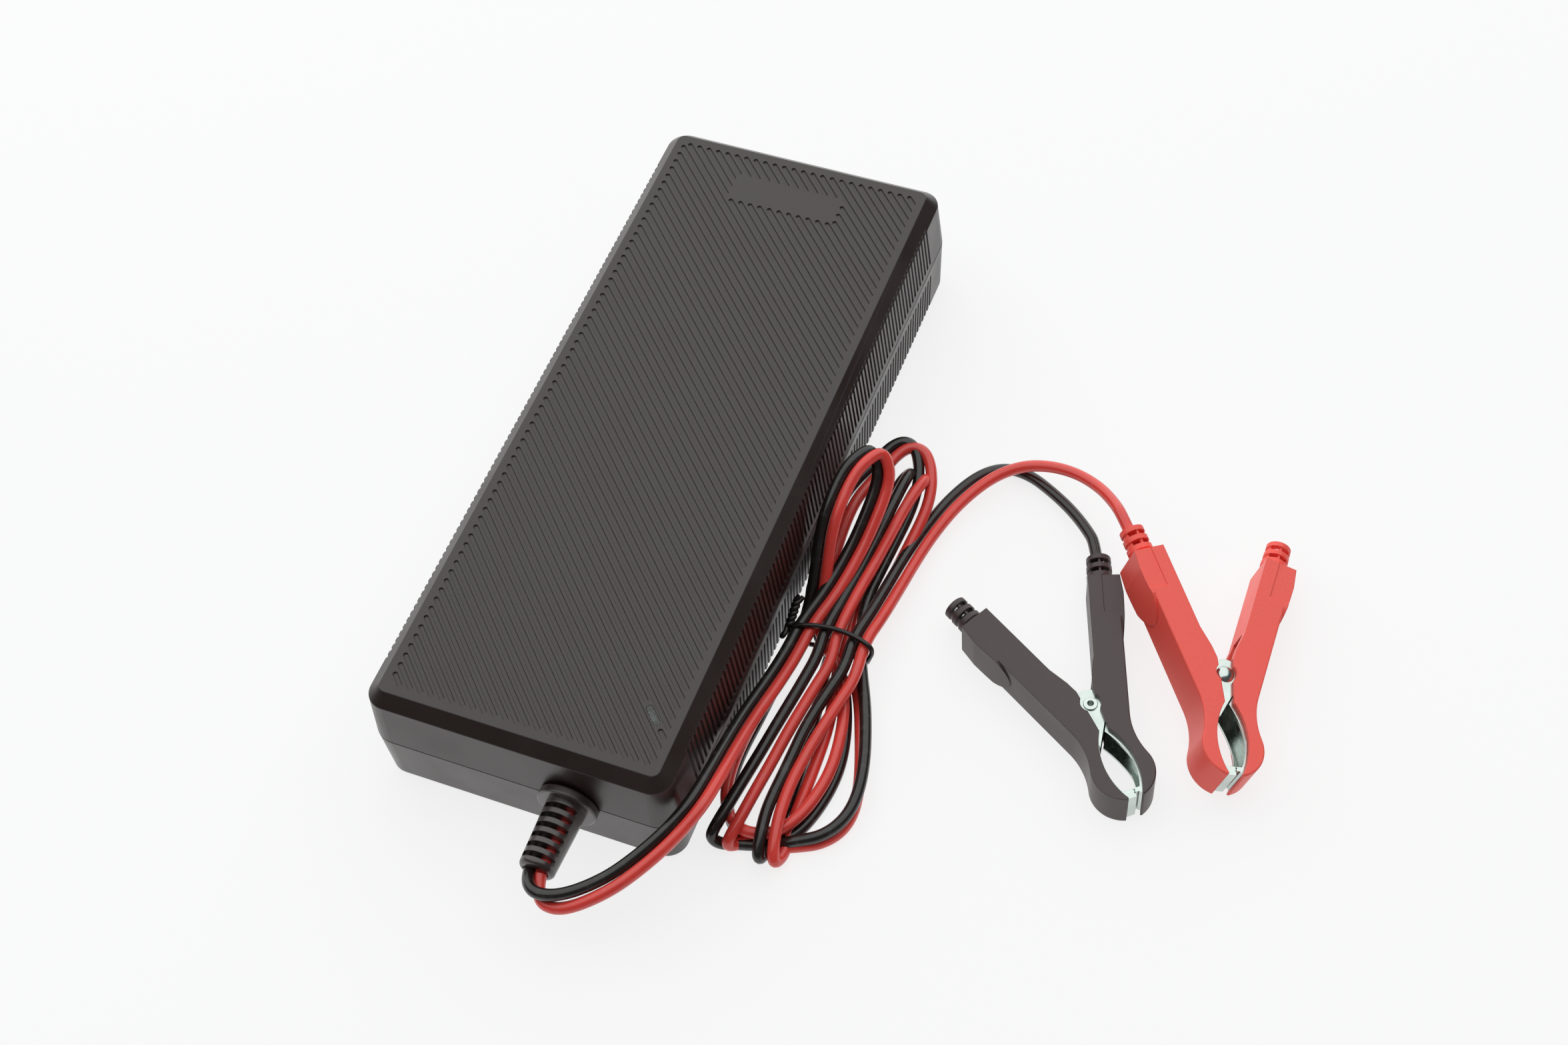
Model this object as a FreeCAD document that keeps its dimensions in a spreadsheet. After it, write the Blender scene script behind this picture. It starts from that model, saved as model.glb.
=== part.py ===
"""Car battery charger: a switched-mode charger in a two-shell case, with a bonded twin output
cord tied in a hank and two spring clips.

Frame: millimetres, +Z up, X across the case, Y towards the mains inlet, origin on the floor
under the middle of the case.
"""
import FreeCAD, Part
import math
import os
import re
import Sketcher

VECTOR = FreeCAD.Vector
UP = VECTOR(0, 0, 1)

# ---------------------------------------------------------------- driving dimensions
SIZES = (
    # case
    ("case_width", 85.0), ("case_length", 206.0), ("case_top", 37.1), ("parting_height", 18.3),
    ("case_floor", 0.6), ("corner_radius", 6.5), ("wall", 2.2), ("upper_draft", 4.0),
    ("lower_draft", 2.7), ("rim_chamfer", 3.3), ("inner_chamfer", 2.0), ("bottom_chamfer", 0.7),
    ("lip_width", 1.0), ("lip_height", 2.0), ("lip_gap", 0.15), ("seam_height", 0.3),
    ("seam_depth", 0.35),
    # lid grooves, 45 degrees to the case's edges
    ("groove_pitch", 2.93), ("groove_shift", 0.33), ("groove_width", 1.2), ("groove_depth", 0.4),
    ("groove_margin_side", 6.6), ("groove_margin_end", 6.9),
    ("badge_width", 32.5), ("badge_length", 9.2), ("badge_from_back", 14.1),
    # flutes of the long sides
    ("flute_pitch", 2.11), ("flute_width", 1.1), ("flute_depth", 0.45),
    ("flute_end_margin", 14.5), ("flute_band_above", 2.1), ("flute_band_below", 2.9),
    # screws and feet
    ("screw_inset_side", 8.0), ("screw_inset_end", 8.5), ("screw_radius", 1.5), ("screw_gap", 0.2),
    ("screw_head_radius", 2.8), ("screw_head_height", 2.0), ("screw_length", 20.0),
    ("boss_radius", 3.6), ("screw_seat", 5.0), ("screw_slot", 0.9), ("foot_radius", 5.0),
    ("foot_height", 1.8), ("foot_inset_side", 12.5), ("foot_inset_end", 23.0), ("foot_gap", 0.1),
    # light pipe and status light
    ("lens_inset_side", 12.0), ("lens_inset_end", 20.1), ("lens_length", 6.1),
    ("lens_width", 1.7),
    ("lens_gap", 0.05), ("lens_flange", 1.2), ("lens_flange_height", 1.0), ("lens_stem", 11.0),
    ("led_length", 5.0), ("led_width", 2.0), ("led_height", 7.0), ("led_leg", 0.5),
    ("led_gap", 1.0), ("led_leg_spread", 2.54),
    # strain relief
    ("relief_x", 14.1), ("flange_radius", 8.0), ("flange_width", 2.4), ("neck_radius", 4.8),
    ("neck_gap", 0.1), ("inner_flange_radius", 6.5), ("inner_flange_width", 2.0),
    ("inner_flange_gap", 0.6),
    ("relief_length", 20.6), ("relief_root_radius", 5.35), ("relief_tip_radius", 4.7),
    ("relief_tip_round", 1.2), ("relief_rings", 6), ("ring_pitch", 2.75), ("ring_slot", 1.4),
    ("ring_first", 3.6), ("slot_half_width", 4.25), ("slot_depth_from", 1.2),
    ("flange_round", 0.5),
    # cord
    ("wire_radius", 1.6), ("bore_gap", 0.15), ("tie_radius", 0.75), ("tie_y", -31.0),
    ("tie_left", 44.2), ("tie_right", 68.8), ("tie_height", 12.6), ("tie_bend", 4.0),
    ("tie_gap", 0.2), ("tie_tail", 11.0), ("hank_high", 11.0), ("hoop_x", 43.4),
    ("hoop_width", 12.4),
    # mains inlet
    ("inlet_width", 27.4), ("inlet_height", 19.8), ("inlet_depth", 20.0), ("inlet_z", 19.4),
    ("inlet_gap", 0.15), ("inlet_recess", 0.3), ("inlet_flange", 2.0), ("inlet_flange_width", 1.8),
    ("inlet_flange_gap", 1.3),
    ("socket_width", 24.2), ("socket_height", 16.4), ("socket_depth", 15.0),
    ("pin_width", 2.0), ("pin_height", 4.0), ("pin_length", 13.0), ("pin_pitch", 14.0),
    ("earth_rise", 4.0), ("pin_tail", 4.0),
    # board
    ("board_margin_side", 5.5), ("board_margin_end", 14.0), ("board_height", 1.6),
    ("board_lift", 4.0),
    ("post_radius", 3.2), ("post_inset_side", 4.0), ("post_inset_end", 12.0),
    ("board_screw_radius", 1.4), ("board_screw_head", 2.7), ("board_screw_length", 5.0),
    ("board_screw_cap", 1.6),
    ("sheet_height", 0.4), ("sheet_margin_side", 10.0), ("sheet_margin_end", 14.0),
    # parts on the board
    ("fuse_x", -24.0), ("fuse_inset", 18.5), ("fuse_radius", 2.6), ("fuse_length", 20.0),
    ("fuse_cap", 5.5), ("fuse_lift", 4.6), ("fuse_step", 0.3), ("fuse_clip", 0.7),
    ("filter_x", -24.0), ("filter_inset", 28.0), ("filter_length", 18.0), ("filter_width", 8.5),
    ("filter_height", 15.5), ("filter_stand", 0.6), ("filter_leg_inset", 1.5),
    ("choke_x", 0.0), ("choke_inset", 29.0), ("choke_radius", 10.0), ("choke_bore", 5.2),
    ("choke_height", 8.0), ("choke_coil", 1.6), ("choke_lift", 2.2), ("choke_gap_width", 4.0),
    ("bridge_x", 24.0), ("bridge_inset", 29.0), ("bridge_width", 22.0), ("bridge_depth", 3.6),
    ("bridge_height", 15.0), ("bridge_lift", 4.0), ("bridge_leg_pitch", 5.1), ("lead_leg", 0.8),
    ("bulk_x", -20.0), ("bulk_inset", 55.0), ("bulk_radius", 11.0), ("bulk_length", 36.0),
    ("bulk_leg_length", 4.0), ("bulk_leg_pitch", 10.0),
    ("sink_x", 24.0), ("sink_inset", 65.0), ("sink_width", 3.0), ("sink_length", 38.0),
    ("sink_height", 23.0), ("fin_depth", 5.0), ("fin_pitch", 7.0), ("fin_width", 1.6),
    ("sink_count", 5),
    ("switch_width", 15.6), ("switch_depth", 4.8), ("switch_height", 18.0),
    ("switch_leg_pitch", 5.45),
    ("transformer_x", -8.0), ("transformer_y", -8.0), ("core_width", 33.0), ("core_depth", 12.0),
    ("core_height", 23.0), ("core_leg", 7.0), ("core_yoke", 4.0), ("winding_gap", 0.3),
    ("bobbin_flange", 1.2), ("bobbin_wall", 1.0), ("bobbin_rail", 3.0),
    ("output_sink_y", -38.0), ("capacitor_radius", 5.0), ("capacitor_height", 20.0),
    ("capacitor_pitch", 12.5), ("capacitor_x", -26.0), ("capacitor_y", -62.0),
    ("capacitor_count", 3),
    # clips: heights of the sleeves, plan of an arm, then its steel
    ("clip_height", 12.0), ("handle_angle", 19.3), ("handle_reach", 38.5), ("handle_inner", 1.65),
    ("handle_width", 8.05), ("jaw_length", 28.8), ("jaw_shoulder", 3.0), ("waist_x", 12.0),
    ("jaw_waist", 7.0), ("neck_x", 18.0), ("jaw_neck", 7.75), ("belly_x", 24.6),
    ("jaw_belly", 7.2), ("tip_outer", 2.2), ("tip_inner", 1.85), ("tip_slope", 0.4),
    ("hollow_x", 20.3), ("jaw_hollow", 4.1), ("throat_x", 8.5), ("jaw_throat", 1.25),
    ("cheek_x", -4.0), ("jaw_cheek", 2.2), ("crotch", 13.8), ("crotch_corner", 8.0),
    ("cover_wall", 1.1), ("cover_fillet", 0.5), ("flank_start", 5.2), ("spring_way", 9.3),
    ("spring_way_height", 6.4), ("crease_drop", 0.7), ("crease_end", 2.0), ("plate_gap", 0.1),
    ("plate", 0.8),
    ("ear_radius", 4.3), ("ear_room", 0.4), ("ear_taper", 12.5), ("ear_lap", 1.35),
    ("steel_reach", 32.0),
    ("steel_proud", 0.35), ("steel_inset", 1.4), ("trim_start", 3.2), ("bite_length", 2.4),
    ("bite_gap", 0.16), ("bite_shift", 0.5), ("nose_recess", 1.2), ("nose_overhang", 0.5),
    ("tooth_pitch", 0.8), ("tooth_depth", 0.25), ("flange_start", 8.1), ("flange_middle", 12.8),
    ("flange_bow", 2.2), ("flange_end", 18.0), ("flange_rise", 3.7),
    ("bead_start", 12.0), ("bead_rise", 0.3), ("bead_width", 0.5), ("bead_pitch", 1.6),
    ("rivet_radius", 1.4), ("rivet_gap", 0.05), ("dome_radius", 2.35), ("dome_height", 1.1),
    ("eyelet_radius", 1.9), ("eyelet_height", 0.5), ("eyelet_bore", 0.85), ("head_room", 0.4),
    ("boot_length", 8.5), ("boot_axis", 5.3), ("boot_root_radius", 3.2), ("boot_band", 0.4),
    ("boot_taper", 0.3), ("boot_bands", 3), ("boot_pitch", 2.75), ("boot_first", 1.6),
    ("boot_band_width", 1.4), ("window_length", 1.35), ("window_width", 2.0),
    ("window_spread", 1.3), ("window_run", 1.0), ("pad_start", 19.6), ("pad_length", 25.0),
    ("pad_peak", 33.0),
    ("pad_proud", 1.0), ("pad_toe", 0.2), ("pad_tail", 0.4), ("pad_height", 14.0),
    ("panel_length", 11.5),
    ("panel_width", 4.4), ("panel_depth", 0.25), ("spring_wire", 0.5), ("spring_radius", 2.5),
    ("spring_turns", 4), ("spring_pitch", 1.12), ("spring_leg", 16.0), ("spring_splay", 16.0),
    ("wire_entry", 27.0), ("crimp_length", 4.0), ("crimp_wall", 0.6),
    # where the clips lie
    ("black_clip_x", 126.5), ("black_clip_y", -30.5), ("black_clip_lift", 6.0),
    ("black_clip_yaw", -50.0), ("black_clip_pitch", 0.0), ("black_clip_roll", 0.0),
    ("red_clip_x", 155.25), ("red_clip_y", -13.45), ("red_clip_lift", 10.05),
    ("red_clip_yaw", -69.8), ("red_clip_pitch", 2.6), ("red_clip_roll", -15.5),
)

doc = FreeCAD.newDocument("car_battery_charger")
sheet = doc.addObject("Spreadsheet::Sheet", "sizes")


class Sizes:
    """The sheet's values as plain numbers, for shapes that no feature can be bound to."""


S = Sizes()
for row, (name, number) in enumerate(SIZES, start=1):
    sheet.set(f"A{row}", name)
    sheet.set(f"B{row}", str(number))
    sheet.setAlias(f"B{row}", name)
    setattr(S, name, number)
doc.recompute()

ALIAS = re.compile(r"\b(" + "|".join(name for name, number in SIZES) + r")\b")
NODES = []


# ---------------------------------------------------------------- helpers
def bind(thing, prop, text):
    """Binds a property to an expression written with the sheet's names."""
    thing.setExpression(prop, ALIAS.sub(r"sizes.\1", str(text)))


def place(thing, at):
    for axis, text in zip("xyz", at):
        bind(thing, f"Placement.Base.{axis}", text)
    return thing


def box(name, size, at, centred=""):
    """A box; the axes named in centred are centred on the given point."""
    thing = doc.addObject("Part::Box", name)
    for prop, text in zip(("Length", "Width", "Height"), size):
        bind(thing, prop, text)
    spots = [f"({spot}) - ({side}) / 2" if axis in centred else spot
             for axis, spot, side in zip("xyz", at, size)]
    return place(thing, spots)


TURNS = {"x": FreeCAD.Rotation(VECTOR(0, 1, 0), 90), "y": FreeCAD.Rotation(VECTOR(1, 0, 0), -90),
         "z": FreeCAD.Rotation()}


def cylinder(name, radius, height, at, along="z"):
    thing = doc.addObject("Part::Cylinder", name)
    bind(thing, "Radius", radius)
    bind(thing, "Height", height)
    thing.Placement = FreeCAD.Placement(VECTOR(), TURNS[along])
    return place(thing, at)


def fuse(name, pieces):
    thing = doc.addObject("Part::MultiFuse", name)
    thing.Shapes = pieces
    return thing


def cut(name, base, tool):
    thing = doc.addObject("Part::Cut", name)
    thing.Base = base
    thing.Tool = tool
    return thing


def group(name, pieces):
    """Several separate solids in one node, such as a set of screws."""
    thing = doc.addObject("Part::Compound", name)
    thing.Links = pieces
    return thing


def shaped(name, shape, placement=None):
    thing = doc.addObject("Part::Feature", name)
    thing.Shape = shape
    if placement is not None:
        thing.Placement = placement
    return thing


def node(thing, label):
    """Names a finished piece and puts it on the list of files to write."""
    thing.Label = label
    NODES.append(thing)
    return thing


def body(name):
    return doc.addObject("PartDesign::Body", name)


def plane_of(thing, role):
    return [plane for plane in thing.Origin.OriginFeatures if plane.Role == role][0]


def sketch_on(thing, name, role, offset="0"):
    sketch = thing.newObject("Sketcher::SketchObject", name)
    sketch.AttachmentSupport = (plane_of(thing, role), "")
    sketch.MapMode = "FlatFace"
    bind(sketch, "AttachmentOffset.Base.z", offset)
    return sketch


def name_size(sketch, index, label, text):
    sketch.renameConstraint(index, label)
    bind(sketch, f"Constraints.{label}", text)


def rounded_rectangle(thing, name, width, length, radius, height, start=(80, 200, 6)):
    """A rounded rectangle round the origin, at a height; start is only where its solver starts."""
    sketch = sketch_on(thing, name, "XY_Plane", height)
    a, b, c = start[0] / 2, start[1] / 2, start[2]
    ends = [((-a + c, -b), (a - c, -b)), ((a, -b + c), (a, b - c)),
            ((a - c, b), (-a + c, b)), ((-a, b - c), (-a, -b + c))]
    for first, last in ends:
        sketch.addGeometry(Part.LineSegment(VECTOR(*first, 0), VECTOR(*last, 0)))
    centres = [(a - c, -b + c), (a - c, b - c), (-a + c, b - c), (-a + c, -b + c)]
    for turn, centre in enumerate(centres):
        circle = Part.Circle(VECTOR(*centre, 0), UP, c)
        begin = math.radians(90 * turn - 90)
        sketch.addGeometry(Part.ArcOfCircle(circle, begin, begin + math.pi / 2))
    for side in range(4):
        sketch.addConstraint(Sketcher.Constraint("Tangent", side, 2, 4 + side, 1))
        sketch.addConstraint(Sketcher.Constraint("Tangent", 4 + side, 2, (side + 1) % 4, 1))
    sketch.addConstraint(Sketcher.Constraint("Symmetric", 0, 1, 0, 2, -2))
    sketch.addConstraint(Sketcher.Constraint("Symmetric", 1, 1, 1, 2, -1))
    sketch.addConstraint(Sketcher.Constraint("Horizontal", 2))
    sketch.addConstraint(Sketcher.Constraint("Vertical", 3))
    for arc in (5, 6, 7):
        sketch.addConstraint(Sketcher.Constraint("Equal", 4, arc))
    name_size(sketch, sketch.addConstraint(Sketcher.Constraint("Radius", 4, c)), "corner", radius)
    wide = sketch.addConstraint(Sketcher.Constraint("DistanceX", 3, 1, 1, 1, 2 * a))
    name_size(sketch, wide, "across", width)
    deep = sketch.addConstraint(Sketcher.Constraint("DistanceY", 0, 1, 2, 2, 2 * b))
    name_size(sketch, deep, "along", length)
    return sketch


def pad(thing, sketch, name, length, taper="0", reverse=False):
    feature = thing.newObject("PartDesign::Pad", name)
    feature.Profile = sketch
    bind(feature, "Length", length)
    bind(feature, "TaperAngle", taper)
    feature.Reversed = reverse
    return feature


def pocket(thing, sketch, name, length, taper="0", reverse=False):
    doc.recompute()
    before = thing.Shape.Volume
    feature = thing.newObject("PartDesign::Pocket", name)
    feature.Profile = sketch
    bind(feature, "Length", length)
    bind(feature, "TaperAngle", taper)
    feature.Reversed = reverse
    doc.recompute()
    if not thing.Shape.Volume < before - 1:
        raise ValueError(f"{name} cut nothing")
    return feature


# ---------------------------------------------------------------- case
HALF_WIDTH = "case_width / 2"
HALF_LENGTH = "case_length / 2"
FLOOR_TOP = "case_floor + wall"
BOARD_UNDER = "case_floor + wall + board_lift"
BOARD_TOP = "case_floor + wall + board_lift + board_height"
ROOF = "case_top - wall"


def corners(across, along):
    """The four spots at plus and minus two distances."""
    return [(f"{sx} * ({across})", f"{sy} * ({along})") for sx in (-1, 1) for sy in (-1, 1)]


SCREW_SPOTS = corners("case_width / 2 - screw_inset_side", "case_length / 2 - screw_inset_end")
FOOT_SPOTS = corners("case_width / 2 - foot_inset_side", "case_length / 2 - foot_inset_end")
BOARD_WIDTH = "(case_width - 2 * board_margin_side)"
BOARD_LENGTH = "(case_length - 2 * board_margin_end)"
POST_SPOTS = corners(f"{BOARD_WIDTH} / 2 - post_inset_side",
                     f"{BOARD_LENGTH} / 2 - post_inset_end")
FUSE_Y, FILTER_Y, CHOKE_Y, BRIDGE_Y, BULK_Y, SINK_Y = [
    f"({BOARD_LENGTH} / 2 - {name}_inset)"
    for name in ("fuse", "filter", "choke", "bridge", "bulk", "sink")]
LENS_X = "(case_width / 2 - lens_inset_side)"
LENS_LINE = (S.case_width / 2 - S.lens_inset_side) - (S.case_length / 2 - S.lens_inset_end)
LENS_GROOVE = round((LENS_LINE - S.groove_shift) / S.groove_pitch)


def stadium(length, width, height):
    """A bar with round ends, along X from end to end, standing on Z = 0."""
    half, radius = length / 2 - width / 2, width / 2
    start = [VECTOR(-half, -radius, 0), VECTOR(half, -radius, 0)]
    back = [VECTOR(half, radius, 0), VECTOR(-half, radius, 0)]
    outline = [Part.LineSegment(*start).toShape(),
               Part.Arc(start[1], VECTOR(half + radius, 0, 0), back[0]).toShape(),
               Part.LineSegment(*back).toShape(),
               Part.Arc(back[1], VECTOR(-half - radius, 0, 0), start[0]).toShape()]
    return Part.Face(Part.Wire(outline)).extrude(VECTOR(0, 0, height))


def groove_spans():
    """The lid's diagonal grooves, as (number, start, end) along lines x + y = constant."""
    side = S.case_width / 2 - S.groove_margin_side
    end = S.case_length / 2 - S.groove_margin_end
    badge_end = S.case_length / 2 - S.badge_from_back
    badge_start = badge_end - S.badge_length
    least = 2 * S.groove_width
    spans = []
    last = int((side + end) / S.groove_pitch) + 1
    for number in range(-last, last + 1):
        middle = (number * S.groove_pitch + S.groove_shift) / 2
        low = max(-side - middle, middle - end)
        high = min(side - middle, middle + end)
        gaps = []
        gap_low = max(-S.badge_width / 2 - middle, middle - badge_end)
        gap_high = min(S.badge_width / 2 - middle, middle - badge_start)
        if gap_low < gap_high:
            gaps.append((gap_low, gap_high))
        if number == LENS_GROOVE:
            reach = (S.lens_length / 2 + S.groove_width) * math.sqrt(0.5)
            across = S.case_width / 2 - S.lens_inset_side - middle
            gaps.append((across - reach, across + reach))
        for gap_low, gap_high in gaps:
            spans.append((middle, low, min(gap_low, high)))
            low = max(gap_high, low)
        spans.append((middle, low, high))
    return [span for span in spans if (span[2] - span[1]) * math.sqrt(2) > least]


def groove_tools():
    tools = []
    for middle, low, high in groove_spans():
        bar = stadium((high - low) * math.sqrt(2), S.groove_width, S.groove_depth + 1)
        centre = (low + high) / 2
        spot = VECTOR(middle + centre, middle - centre, S.case_top - S.groove_depth)
        bar.Placement = FreeCAD.Placement(spot, FreeCAD.Rotation(UP, -45))
        tools.append(bar)
    return tools


def flute_tools(band, draft, rise):
    """Slots down both long sides of one shell; rise is 1 above the parting line, -1 below it."""
    count = int((S.case_length - 2 * S.flute_end_margin) / S.flute_pitch)
    reach = S.case_top
    tools = []
    for side in (0, 180):
        for number in range(count + 1):
            along = (number - count / 2) * S.flute_pitch
            bar = stadium(reach, S.flute_width, S.flute_depth + 1)
            bar.rotate(VECTOR(), VECTOR(0, 1, 0), 90)
            bar.translate(VECTOR(-S.flute_depth, 0, rise * (band + reach / 2)))
            bar.rotate(VECTOR(), VECTOR(0, 1, 0), -rise * draft)
            bar.translate(VECTOR(S.case_width / 2, along, S.parting_height))
            bar.rotate(VECTOR(), UP, side)
            tools.append(bar)
    return tools


def lens_spot(height):
    return (LENS_X, f"{LENS_GROOVE} * groove_pitch + groove_shift - {LENS_X}", height)


def front_cylinder(name, radius, start, length):
    """A cylinder about the cord's line through the front wall, outwards from a start."""
    return cylinder(name, radius, length, ("relief_x", f"({start}) - ({length})",
                                           "parting_height"), "y")


def inlet_box(name, grow, start, length):
    size = (f"inlet_width + 2 * ({grow})", length, f"inlet_height + 2 * ({grow})")
    return box(name, size, ("0", start, "inlet_z"), "xz")


def opening_tools(prefix):
    """What the two shells share where the cord and the inlet pass between them."""
    neck = front_cylinder(f"{prefix}_neck_opening", "neck_radius + neck_gap",
                          "-case_length / 2 + wall + 1", "wall + 2")
    inlet = inlet_box(f"{prefix}_inlet_opening", "inlet_gap", "case_length / 2 - wall - 1",
                      "wall + 2")
    return [neck, inlet]


def drawn_in(size, height, draft):
    """A width that a drafted wall has drawn in by, at a height above its foot."""
    return f"{size} - 2 * ({height}) * tan({draft})"


def seam_ring():
    """The shadow gap round the case, where the lid meets the tray."""
    width, length = S.case_width - 2 * S.seam_depth, S.case_length - 2 * S.seam_depth
    core = Part.makeBox(width, length, S.seam_height,
                        VECTOR(-width / 2, -length / 2, S.parting_height))
    upright = [edge for edge in core.Edges if edge.BoundBox.ZLength > S.seam_height / 2]
    core = core.makeFillet(S.corner_radius - S.seam_depth, upright)
    ring = Part.makeBox(S.case_width + 2, S.case_length + 2, S.seam_height,
                        VECTOR(-S.case_width / 2 - 1, -S.case_length / 2 - 1, S.parting_height))
    return ring.cut(core)


def top_shell():
    shell = body("lid_form")
    outline = rounded_rectangle(shell, "lid_outline", "case_width", "case_length",
                                "corner_radius", "parting_height")
    rise = "case_top - rim_chamfer - parting_height"
    pad(shell, outline, "lid_block", rise, "-upper_draft")
    rim = rounded_rectangle(shell, "lid_rim_outline", drawn_in("case_width", rise, "upper_draft"),
                            drawn_in("case_length", rise, "upper_draft"),
                            f"corner_radius - ({rise}) * tan(upper_draft)",
                            "case_top - rim_chamfer")
    pad(shell, rim, "lid_rim", "rim_chamfer", "-45")
    inside = rounded_rectangle(shell, "lid_inside", "case_width - 2 * wall",
                               "case_length - 2 * wall", "corner_radius - wall",
                               "parting_height")
    depth = f"{ROOF} - inner_chamfer - parting_height"
    pocket(shell, inside, "lid_hollow", depth, "-upper_draft", True)
    vault = rounded_rectangle(shell, "lid_vault",
                              drawn_in("case_width - 2 * wall", depth, "upper_draft"),
                              drawn_in("case_length - 2 * wall", depth, "upper_draft"),
                              f"corner_radius - wall - ({depth}) * tan(upper_draft)",
                              f"{ROOF} - inner_chamfer")
    pocket(shell, vault, "lid_vault_cut", "inner_chamfer", "-45", True)
    rebate = rounded_rectangle(shell, "lid_rebate", "case_width - 2 * (wall - lip_width - lip_gap)",
                               "case_length - 2 * (wall - lip_width - lip_gap)",
                               "corner_radius - wall + lip_width + lip_gap", "parting_height")
    pocket(shell, rebate, "lid_rebate_cut", "lip_height + lip_gap", "0", True)
    bosses = [cylinder(f"lid_boss_{number}", "boss_radius", f"{ROOF} - parting_height",
                       (*spot, "parting_height"))
              for number, spot in enumerate(SCREW_SPOTS, start=1)]
    solid = fuse("lid_with_bosses", [shell] + bosses)
    holes = [cylinder(f"lid_pilot_{number}", "screw_radius + screw_gap",
                      "screw_seat + screw_length - parting_height + 2",
                      (*spot, "parting_height - 1"))
             for number, spot in enumerate(SCREW_SPOTS, start=1)]
    tools = shaped("lid_grooves", Part.makeCompound(
        groove_tools() + flute_tools(S.flute_band_above, S.upper_draft, 1) + [seam_ring()]))
    slot = lens_prism("lens_slot", "lens_gap", f"{ROOF} - 1", "wall + 2")
    cuts = group("lid_cuts", [tools, slot] + holes + opening_tools("lid"))
    node(cut("top_shell_solid", solid, cuts), "top_shell")


def lens_prism(name, grow, base, height):
    """A bar with round ends set in the line of a lid groove."""
    middle = box(f"{name}_middle", ("lens_length - lens_width", f"lens_width + 2 * ({grow})",
                                    height), ("0", "0", base), "xy")
    ends = [cylinder(f"{name}_{end}", f"lens_width / 2 + ({grow})", height,
                     (f"{sign} * (lens_length - lens_width) / 2", "0", base))
            for end, sign in (("near_end", -1), ("far_end", 1))]
    bar = fuse(f"{name}_bar", [middle] + ends)
    bar.Placement = FreeCAD.Placement(VECTOR(), FreeCAD.Rotation(UP, -45))
    return place(bar, lens_spot("0"))


def bottom_shell():
    shell = body("tray_form")
    outline = rounded_rectangle(shell, "tray_outline", "case_width", "case_length",
                                "corner_radius", "parting_height")
    drop = "parting_height - case_floor - bottom_chamfer"
    pad(shell, outline, "tray_block", drop, "-lower_draft", True)
    sole = rounded_rectangle(shell, "tray_sole_outline", drawn_in("case_width", drop, "lower_draft"),
                             drawn_in("case_length", drop, "lower_draft"),
                             f"corner_radius - ({drop}) * tan(lower_draft)",
                             "case_floor + bottom_chamfer")
    pad(shell, sole, "tray_sole", "bottom_chamfer", "-45", True)
    lip = rounded_rectangle(shell, "tray_lip_outline", "case_width - 2 * (wall - lip_width)",
                            "case_length - 2 * (wall - lip_width)",
                            "corner_radius - wall + lip_width", "parting_height")
    pad(shell, lip, "tray_lip", "lip_height")
    inside = rounded_rectangle(shell, "tray_inside", "case_width - 2 * wall",
                               "case_length - 2 * wall", "corner_radius - wall",
                               "parting_height + lip_height")
    pocket(shell, inside, "tray_mouth", "lip_height")
    deep = rounded_rectangle(shell, "tray_deep", "case_width - 2 * wall",
                             "case_length - 2 * wall", "corner_radius - wall",
                             "parting_height")
    pocket(shell, deep, "tray_hollow", f"parting_height - ({FLOOR_TOP})", "-lower_draft")
    bosses = [cylinder(f"tray_boss_{number}", "boss_radius", "parting_height - case_floor - 1",
                       (*spot, "case_floor + 1"))
              for number, spot in enumerate(SCREW_SPOTS, start=1)]
    posts = [cylinder(f"board_post_{number}", "post_radius", "board_lift + wall / 2",
                      (*spot, f"{FLOOR_TOP} - wall / 2"))
             for number, spot in enumerate(POST_SPOTS, start=1)]
    solid = fuse("tray_with_posts", [shell] + bosses + posts)
    cuts = []
    for number, spot in enumerate(SCREW_SPOTS, start=1):
        cuts.append(cylinder(f"screw_way_{number}", "screw_radius + screw_gap",
                             "parting_height + 1", (*spot, "0")))
        cuts.append(cylinder(f"screw_well_{number}", "screw_head_radius + screw_gap",
                             "screw_seat", (*spot, "0")))
    for number, spot in enumerate(FOOT_SPOTS, start=1):
        cuts.append(cylinder(f"foot_seat_{number}", "foot_radius + foot_gap", "foot_height",
                             (*spot, "0")))
    for number, spot in enumerate(POST_SPOTS, start=1):
        cuts.append(cylinder(f"post_pilot_{number}", "board_screw_radius + screw_gap",
                             "board_screw_length", (*spot, f"{BOARD_TOP} - board_screw_length")))
    flutes = shaped("tray_flutes", Part.makeCompound(
        flute_tools(S.flute_band_below, S.lower_draft, -1)))
    tools = group("tray_cuts", [flutes] + cuts + opening_tools("tray"))
    node(cut("bottom_shell_solid", solid, tools), "bottom_shell")


def case_screws():
    """Self-tapping screws from below, their heads down in the wells."""
    screws = []
    for number, spot in enumerate(SCREW_SPOTS, start=1):
        head = cylinder(f"screw_head_{number}", "screw_head_radius", "screw_head_height",
                        (*spot, "screw_seat - screw_head_height"))
        shank = cylinder(f"screw_shank_{number}", "screw_radius", "screw_length",
                         (*spot, "screw_seat"))
        solid = fuse(f"screw_solid_{number}", [head, shank])
        slot = cross_slot(f"screw_slot_{number}", "screw_head_radius", spot,
                          "screw_seat - screw_head_height - 1", "screw_head_height / 2 + 1")
        screws.append(cut(f"screw_{number}", solid, slot))
    node(group("screw_set", screws), "case_screws")


def cross_slot(name, radius, spot, base, height):
    arms = [box(f"{name}_{way}", (across, along, height), (*spot, base), "xy")
            for way, across, along in (("across", f"1.3 * ({radius})", "screw_slot"),
                                       ("along", "screw_slot", f"1.3 * ({radius})"))]
    return fuse(name, arms)


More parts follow.
